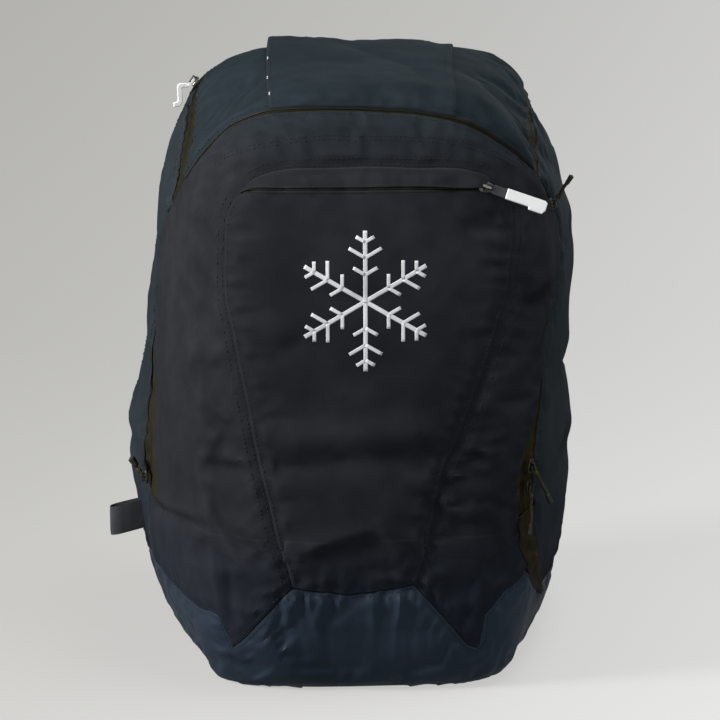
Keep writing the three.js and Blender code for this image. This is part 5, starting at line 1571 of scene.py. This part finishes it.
# A loop of webbing low on the left side: distance out and sideways along it.
base = ring_z(102, math.atan2(64, -182))
out_way = normal(base)
out_way[2] = 0
out_way = unit(out_way)
side = vec([-out_way[1], out_way[0], 0])
loop = free_curve(xyz("""0 -3.6 0, 8 -4.2 0, 18 -4.6 0, 25 -4.4 0, 29.5 -2.6 0, 30.5 0 0,
    29.5 2.6 0, 25 4.4 0, 18 4.6 0, 8 4.2 0, 0 3.6 0"""), 70)
line = (base + out_way * 1.0 + out_way * loop[:, :1] + side * loop[:, 1:2]
        + vec([0, 0, 1.0]) * (-0.20 * loop[:, :1] - 0.5))
place(ribbon("ski_loop_webbing", line, 25, 1.5, LOOP_WEB, across=vec([0.0, 0.0, 1.0])),
      "ski_loop", "ski_loop_left")

line = free_curve(xyz("""-38 134.8 480, -37.4 138 473, -32 143 464, -22 147 458,
    0 148.5 455, 22 147 458, 32 143 464, 37.4 138 473, 38 134.8 480"""), 60)
place(ribbon("haul_handle_webbing", line, 18, 1.8, WEB, facing=vec([0, 1.0, 0.4])),
      "haul_handle", "haul_handle_strap")
line = [[x, 148.2 - 0.0016 * x * x, 455.6 + 0.003 * x * x] for x in np.linspace(-19, 19, 30)]
radius = (3.7 * (1 - (np.abs(np.linspace(-1, 1, 30)) ** 10)) ** 0.5
          * (0.97 + 0.03 * np.cos(np.arange(30) * 1.9)) + 0.3)
place(outward(make("haul_handle_grip", *tube(line, radius, 20, vec([0, 1.0, 0.3]), flat=2.3),
                   MESH)), "haul_handle")


# ------------------------------------------- pads: remeshed, puffed by cloth, then bound
def puffed(node, name, mat, body, voxel=4.5, pressure=4.0, cap=2.5, squeeze=None):
    """A frame piece as soft foam; cap limits how far the cloth moves it."""
    obj = link(bpy.data.objects.new(name, NODES[node].data.copy()))
    obj.data.materials.clear()
    obj.data.materials.append(mat)

    def apply_modifiers():
        evaluated = obj.evaluated_get(bpy.context.evaluated_depsgraph_get())
        mesh = bpy.data.meshes.new_from_object(evaluated)
        obj.modifiers.clear()
        obj.data = mesh
        return mesh

    remesh = obj.modifiers.new("remesh", "REMESH")
    remesh.mode, remesh.voxel_size = "VOXEL", voxel * MM
    mesh = apply_modifiers()
    rest = np.zeros(len(mesh.vertices) * 3)
    mesh.vertices.foreach_get("co", rest)
    rest = rest.reshape(-1, 3)
    end = settle_cloth(obj, pressure=pressure, shrink=-0.02, bending=1.0)
    if np.isfinite(end).all():
        shift = end - rest
        size = np.linalg.norm(shift, axis=1, keepdims=True)
        limit = cap * MM
        rest = rest + shift / np.maximum(size, 1e-9) * (limit * np.tanh(size / limit))
    if squeeze is not None:
        rest = squeeze(rest / MM) * MM
    mesh.vertices.foreach_set("co", rest.ravel())
    # The remeshed copy may come without its material.
    if not len(mesh.materials):
        mesh.materials.append(mat)
    for i in range(len(mesh.materials)):
        mesh.materials[i] = mat
    mesh.update()
    smooth = obj.modifiers.new("smooth", "SMOOTH")
    smooth.iterations, smooth.factor = 2, 0.5
    subsurf = obj.modifiers.new("subsurf", "SUBSURF")
    subsurf.levels = subsurf.render_levels = 1
    mesh = apply_modifiers()
    mesh.polygons.foreach_set("use_smooth", np.ones(len(mesh.polygons), bool))
    place(obj, body, node)


def channels(centre_x, half_width, heights):
    """Presses moulded channels into the outer face of a back pad."""
    def press(pos):
        pressed = pos.copy()
        off = np.abs(pos[:, 0] - centre_x)
        outer = np.clip((pos[:, 1] - 136) / 6, 0, 1)
        gap = np.full(len(pos), 1e9)
        for z in heights:
            gap = np.minimum(gap, np.abs(pos[:, 2] - z + 0.12 * off))
        pressed[:, 1] -= (3.2 * np.exp(-((gap / 4.0) ** 2)) * outer
                          * np.clip((half_width - off) / 6, 0, 1))
        return pressed
    return press


def pad_binding(name, x, z, width, height, corner, y=134.2, radius=2.2):
    """A closed cord round a pad: a rectangle with rounded corners."""
    points = []
    for sign_x, sign_z, start in ((1, 1, 0), (-1, 1, 90), (-1, -1, 180), (1, -1, 270)):
        for k in range(9):
            angle = math.radians(start + 90 * k / 8)
            points.append([x + sign_x * (width / 2 - corner) + corner * math.cos(angle), y,
                           z + sign_z * (height / 2 - corner) + corner * math.sin(angle)])
    count, sides = 140, 8
    line = Path(points + points[:1]).at(np.linspace(0, 1, count, endpoint=False))
    tangent = unit(np.roll(line, -1, 0) - np.roll(line, 1, 0))
    up = vec([0.0, 1.0, 0.0])
    third = np.cross(tangent, up)
    angle = np.arange(sides) * math.pi / 4
    verts = (line[:, None] + up * (np.cos(angle) * radius)[None, :, None]
             + third[:, None] * (np.sin(angle) * radius * 0.8)[None, :, None]).reshape(-1, 3)
    index = np.arange(count * sides).reshape(count, sides)
    after = np.roll(index, -1, 0)
    faces = np.stack([index, np.roll(index, -1, 1), np.roll(after, -1, 1), after], -1)
    uv = np.stack([np.repeat(np.arange(count) * 5.0, sides),
                   np.tile(np.arange(sides) * 1.6, count)], -1)
    place(outward(make(name, verts, faces.reshape(-1, 4), BIND, uv, 60)), "shell")


PADS = [  # name, x, z, width, height, corner radius, channels' half width and heights
    ("back_pad_left", -58, 285, 87, 231, 24, 43, [205, 245, 285, 325, 365]),
    ("back_pad_right", 58, 285, 87, 231, 24, 43, [205, 245, 285, 325, 365]),
    ("lumbar_pad", 0, 118, 211, 79, 26, 105, [118]),
]
for name, x, _, _, _, _, half, heights in PADS:
    puffed(name, name + "_foam", MESH, "shell", squeeze=channels(x, half, heights))
for name in ("boot_divider", "helmet_shelf"):
    puffed(name, name + "_pad", LINING, "shell", voxel=6.0, pressure=3.0, cap=1.5)
for name, *outline, _, _ in PADS:
    pad_binding(name + "_binding", *outline)

# ---------------------------------------------------------------- straps
Y_AXIS, Z_AXIS = vec([0, 1.0, 0]), vec([0.0, 0, 1.0])
# Centre lines for the right side; the left is mirrored in x.
STRAP_LINE = xyz("""38 139.6 440, 42 146 422, 47 151.6 402, 55 157 370, 66 160 330,
    80 161 285, 92 159 240, 99 155 205""")
LOWER_LINE = xyz("""141 132.6 80, 139 135.4 86, 134 139 100, 122 143 130, 111 146.4 156,
    104 148.6 172""")
LOOSE_LINE = xyz("101 152.2 172, 103 153 160, 106 150.4 140, 104 151.6 118, 107 150.6 100")
WAIST_LINE = xyz("105 145.4 116, 92 146.2 116.4, 80 146.6 116, 52 149 115.7, 36 149.6 116")
STERNUM = (61, 168, 348)
# The sternum half from its anchor: x, y and z off STERNUM.
STERNUM_LINE = xyz("12 -1.4 0, 6 1.2 0, -6 1.2 0, -14 0.2 0, -24 0 0, -34 0 0")


def shoulder_strap(side, sign):
    body = "strap_" + side
    puffed("shoulder_strap_" + side, "shoulder_strap_%s_foam" % side, MESH, body, cap=2.0)
    line = free_curve(STRAP_LINE * vec([sign, 1, 1]), 90)
    _, across, out_way = frames_along(line, vec([1.0, 0, 0]))
    out_way = out_way * np.sign(out_way[:, 1:2])
    for edge in (-1, 1):
        parts = tube(line + across * edge * 28.6, 3.2, 8, out_way, flat=0.8)
        name = "strap_%s_binding_%s" % (side, "in" if edge * sign < 0 else "out")
        place(outward(make(name, *parts, BIND, sharp=60)), body)
    middle = line[6:86] + out_way[6:86] * 6.9
    place(ribbon("strap_%s_webbing" % side, middle, 20, 1.5, WEB, facing=out_way[6:86]), body)
    # Bar tacks across the strap's webbing.
    parts = []
    for k in (8, 22, 36, 50, 64, 78):
        tack = (middle[k] + out_way[k + 6] * 0.8
                + across[k + 6] * np.linspace(-8.5, 8.5, 18)[:, None])
        parts.append(tube(tack, 0.75 + 0.18 * np.cos(np.arange(18) * 2.6), 6, out_way[k + 6]))
    place(outward(make("strap_%s_bartacks" % side, *merged(parts), THREAD)), body)


def lower_webbing(side, sign):
    """Webbing from the bag's corner to the ladder lock, and its loose end."""
    body = "strap_" + side
    line = free_curve(LOWER_LINE * vec([sign, 1, 1]), 40)
    strap = ribbon("lower_webbing_%s_strap" % side, line, 24.6, 1.6, WEB,
                   across=vec([1.0, 0, 0.2]))
    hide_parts("lower_webbing_" + side)
    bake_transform(strap)
    line = free_curve(LOOSE_LINE * vec([sign, 1, 1]), 40)
    place(ribbon("webbing_tail_" + side, line, 24, 1.5, WEB, across=vec([1.0, 0, 0.1])), body)


def sternum_strap(side, sign):
    body = "sternum_" + side
    anchor = vec(STERNUM) * vec([sign, 1, 1])
    line = free_curve(anchor + STERNUM_LINE * vec([sign, 1, 1]), 40)
    place(ribbon("sternum_strap_%s_webbing" % side, line, 15, 1.6, WEB, across=Z_AXIS),
          body, "sternum_strap_" + side)
    # The block it slides on.
    work = bmesh.new()
    bmesh.ops.create_cube(work, size=1.0)
    bmesh.ops.scale(work, vec=Vector((0.028, 0.0034, 0.021)), verts=work.verts)
    bmesh.ops.translate(work, vec=Vector((anchor - vec([0, 0.6, 0])) * MM), verts=work.verts)
    bmesh.ops.bevel(work, geom=list(work.edges), offset=0.0012, segments=3, affect="EDGES",
                    profile=0.6)
    mesh = bpy.data.meshes.new("sternum_carriage_" + side)
    work.to_mesh(mesh)
    work.free()
    mesh.materials.append(BLACK)
    mesh.polygons.foreach_set("use_smooth", np.ones(len(mesh.polygons), bool))
    mesh.set_sharp_from_angle(angle=math.radians(40))
    place(link(bpy.data.objects.new("sternum_carriage_" + side, mesh)), body)


def waist_belt(side, sign):
    body = "waist_" + side
    line = free_curve(WAIST_LINE * vec([sign, 1, 1]), 60)
    place(ribbon("waist_belt_%s_webbing" % side, line, 38, 2.2, WEB, across=Z_AXIS, cols=11),
          body, "waist_belt_" + side)
    parts = []
    for x, y in ((98, 147.6), (66, 148.9)):
        for z in np.linspace(101, 131, 5):
            tack = [[sign * (x + k), y, z] for k in np.linspace(-3, 3, 8)]
            parts.append(tube(tack, 0.6, 6, Y_AXIS))
    place(outward(make("waist_%s_bartacks" % side, *merged(parts), THREAD)), body)


for side, sign in (("left", -1), ("right", 1)):
    shoulder_strap(side, sign)
    lower_webbing(side, sign)
    sternum_strap(side, sign)
    waist_belt(side, sign)

# ---------------------------------------------------------------- pulls
PULL_LOOP = xyz("""7.5 0.9 0, 4 1.9 0.1, 0.8 1.7 0.1, -0.9 0 0, 0.8 -1.7 -0.1,
    4 -1.9 -0.1, 7.5 -0.9 0""")


def cord_pull(key, base, pull, tilt, length, knob):
    """A cord pull lying along pull, tilted off the surface, with a knob of that radius."""
    out_way = normal(base)
    pull = vec(pull, float)
    flat = unit(pull - out_way * np.dot(pull, out_way))
    ahead = flat * math.cos(tilt) + out_way * math.sin(tilt)
    side = np.cross(out_way, flat)
    up = np.cross(ahead, side)
    origin = base + out_way * 4.5

    def world(x, y=0.0, z=0.0):
        return origin + np.stack(np.broadcast_arrays(x, y, z), -1) @ vec([ahead, side, up])

    parts = [tube(world(*free_curve(PULL_LOOP, 40).T), 0.75, 8, up, twist=3.4, lobes=3,
                  depth=0.10)]
    x = np.linspace(5.5, 6 + length - 2, int(length / 0.45))
    bend, wave = 1.4 * np.sin((x - 5.5) / length * 2.6), 0.5 * np.sin(x * 0.3)
    parts.append(tube(world(x, bend, wave), 1.45, 12, up, twist=2.1, lobes=4, depth=0.12))
    # The binding where the cord leaves the loop.
    share = np.linspace(0, 1, 16)
    parts.append(tube(world(4.6 + 5.0 * share), 0.4 + 1.7 * np.sin(np.pi * share) ** 0.7, 12,
                      up, twist=2.4, lobes=3, depth=0.14))
    place(outward(make(key + "_pull_cord", *merged(parts), CORD, sharp=60)),
          key + "_pull", key + "_pull")
    share = np.linspace(0, 1, 14)
    radius = (knob * (0.82 + 0.22 * share) * np.where(share < 0.06, 0.75, 1)
              * np.where(share > 0.94, 0.72, 1) * (1 - 0.05 * (np.abs(share - 0.45) < 0.05)))
    end = tube(world(x[-1] - 2.0 + 8.5 * share, bend[-1], wave[-1]), radius, 14, up)
    place(outward(make(key + "_pull_end", *end, KNOB, sharp=50)), key + "_pull")


cord_pull("top_right", RIGHT_SIDE.at(0.88), pull=(0.5, -0.1, 0.8), tilt=0.75, length=17, knob=2.1)
cord_pull("upper_right", RIGHT_SIDE.at(0.185), pull=(0.34, 0.2, -1), tilt=0.3, length=25, knob=2.4)
cord_pull("lower_right", RIGHT_SIDE.at(0.133), pull=(-0.2, -0.1, -1), tilt=0.14, length=28,
          knob=2.1)
cord_pull("left", LEFT_SIDE.at(0.045), pull=(-0.1, 0.2, 1), tilt=0.5, length=9, knob=3.2)


# ---------------------------------------------------------------- hard parts kept from the frame
def carried(node, mat, width, segments=2):
    """A frame piece given a material and a bevel."""
    obj = NODES[node]
    obj.data.materials.clear()
    obj.data.materials.append(mat)
    bevel = obj.modifiers.new("bevel", "BEVEL")
    bevel.width, bevel.segments = width * MM, segments
    bevel.limit_method, bevel.angle_limit = "ANGLE", math.radians(35)
    bevel.harden_normals = False


for key in ("pocket", "lid"):
    carried(key + "_slider", METAL, 0.3)
for key in ("top_right", "upper_right", "lower_right", "left"):
    carried(key + "_slider", METAL_DARK, 0.3)
carried("pocket_pull", BLACK, 0.3)
carried("pocket_pull_bar", WHITE, 0.5, 3)
carried("lid_pull", WHITE, 0.4, 3)
for key in ("left", "right"):
    carried("ladder_lock_" + key, BLACK, 0.7, 3)
    carried("drain_eyelet_" + key, EYELET, 0.4, 3)
for key, width in (("sternum", 0.7), ("waist", 1.0)):
    carried(key + "_buckle_socket", BLACK, width, 3)
    carried(key + "_buckle_plug", BLACK, width, 3)
carried("base_board", BOARD, 0.5)
carried("frame_sheet", BOARD, 0.5)

# ---------------------------------------------------------------- stage, in metres
BACKDROP_GLOW, GLOW_SHARE = 1.12, 0.72


def backdrop_material():
    """A grey sweep with painted light graded across the view, lighter towards the lower right,
    partly glowing, and clear from behind.
    """
    mat = Material("backdrop")
    x, y, _ = mat.split(mat.coords()["Window"])
    painted_light_grade = mat.math("ADD", mat.times(x, 0.5), mat.times(mat.math("SUBTRACT", 1.0, y), 0.5))
    # Painted light: darker at the top left, lighter at the bottom right, as light falls across the
    # sweep.
    stops = ((0.0, (178, 177, 173)), (0.35, (190, 189, 186)), (0.7, (208, 207, 205)),
             (1.0, (222, 221, 219)))
    colour = mat.ramp(painted_light_grade, [(position, srgb(rgb)) for position, rgb in stops])
    mottle = mat.noise(mat.coords()["Object"], scale=3.0)
    colour = mat.stain(colour, mottle, amount=0.03, to=(0.5, 0.5, 0.49, 1))
    matte = mat.node("ShaderNodeBsdfPrincipled", Base_Color=colour, Roughness=0.95,
                     Specular_IOR_Level=0.1).outputs[0]
    glow = mat.node("ShaderNodeEmission", Color=colour, Strength=BACKDROP_GLOW).outputs[0]
    seen = mat.node("ShaderNodeMixShader", GLOW_SHARE, matte, glow).outputs[0]
    behind = mat.node("ShaderNodeNewGeometry").outputs["Backfacing"]
    clear = mat.node("ShaderNodeBsdfTransparent").outputs[0]
    return mat.out(mat.node("ShaderNodeMixShader", behind, seen, clear).outputs[0])


def backdrop():
    """Floor and wall joined by a quarter round."""
    profile = [(-6.0, 0.0)] + [(y, 0.0) for y in np.linspace(-5, 1.2, 10)]
    profile += [(1.2 + 1.6 * math.sin(a), 1.6 - 1.6 * math.cos(a))
                for a in np.linspace(0.1, math.pi / 2, 16)]
    profile += [(2.8, z) for z in np.linspace(1.8, 6, 8)]
    xs = np.linspace(-6, 6, 13)
    mesh = bpy.data.meshes.new("backdrop")
    mesh.from_pydata([(x, y, z) for y, z in profile for x in xs], [],
                     [tuple(int(i) for i in quad) for quad in grid_faces(len(profile), len(xs))])
    mesh.materials.append(backdrop_material())
    mesh.polygons.foreach_set("use_smooth", np.ones(len(mesh.polygons), bool))
    obj = link(bpy.data.objects.new("backdrop", mesh))
    obj.visible_diffuse = obj.visible_glossy = False


def area(name, location, size, power, color):
    """A round lamp aimed at the middle of the bag."""
    lamp = bpy.data.lights.new(name, "AREA")
    lamp.shape, lamp.size, lamp.energy, lamp.color = "DISK", size, power, color
    obj = link(bpy.data.objects.new(name, lamp))
    obj.location = location
    obj.rotation_mode = "QUATERNION"
    aim = Vector((0, 0, 0.25)) - Vector(location)
    obj.rotation_quaternion = aim.to_track_quat("-Z", "Y")


backdrop()
for lamp in (  # name, location, diameter, watts, colour
    ("key", (-1.95, -0.66, 1.15), 0.6, 64, (1.0, 0.985, 0.96)),
    ("fill", (2.2, -1.8, 1.0), 1.4, 11.5, (0.9, 0.96, 1.0)),
    ("top", (0.5, -0.3, 2.3), 0.9, 23, (0.92, 0.98, 1.0)),
    ("front_low", (-0.5, -2.6, 0.3), 0.8, 5, (0.95, 0.97, 1.0)),
    ("back", (0.8, 2.3, 0.8), 1.4, 9, (0.95, 0.97, 1.0)),
):
    area(*lamp)

world = bpy.data.worlds.new("studio")
bpy.context.scene.world = world
world.use_nodes = True
sky = world.node_tree.nodes["Background"].inputs
sky["Color"].default_value = (0.86, 0.9, 0.94, 1)
sky["Strength"].default_value = 0.20
bpy.context.scene.view_settings.view_transform = "Standard"

lens = bpy.data.cameras.new("camera")
lens.sensor_width, lens.lens = 36, 155.0
lens.shift_x, lens.shift_y = 0.0038, -0.0010
lens.clip_start, lens.clip_end = 0.05, 50
camera = link(bpy.data.objects.new("camera", lens))
azimuth, elevation, distance = math.radians(-3), math.radians(13), 2.6
back = Vector((math.sin(azimuth) * math.cos(elevation),
               -math.cos(azimuth) * math.cos(elevation), math.sin(elevation)))
camera.location = Vector((0, 0, 0.249)) + back * distance
camera.rotation_mode = "QUATERNION"
camera.rotation_quaternion = (-back).to_track_quat("-Z", "Y")
bpy.context.scene.camera = camera
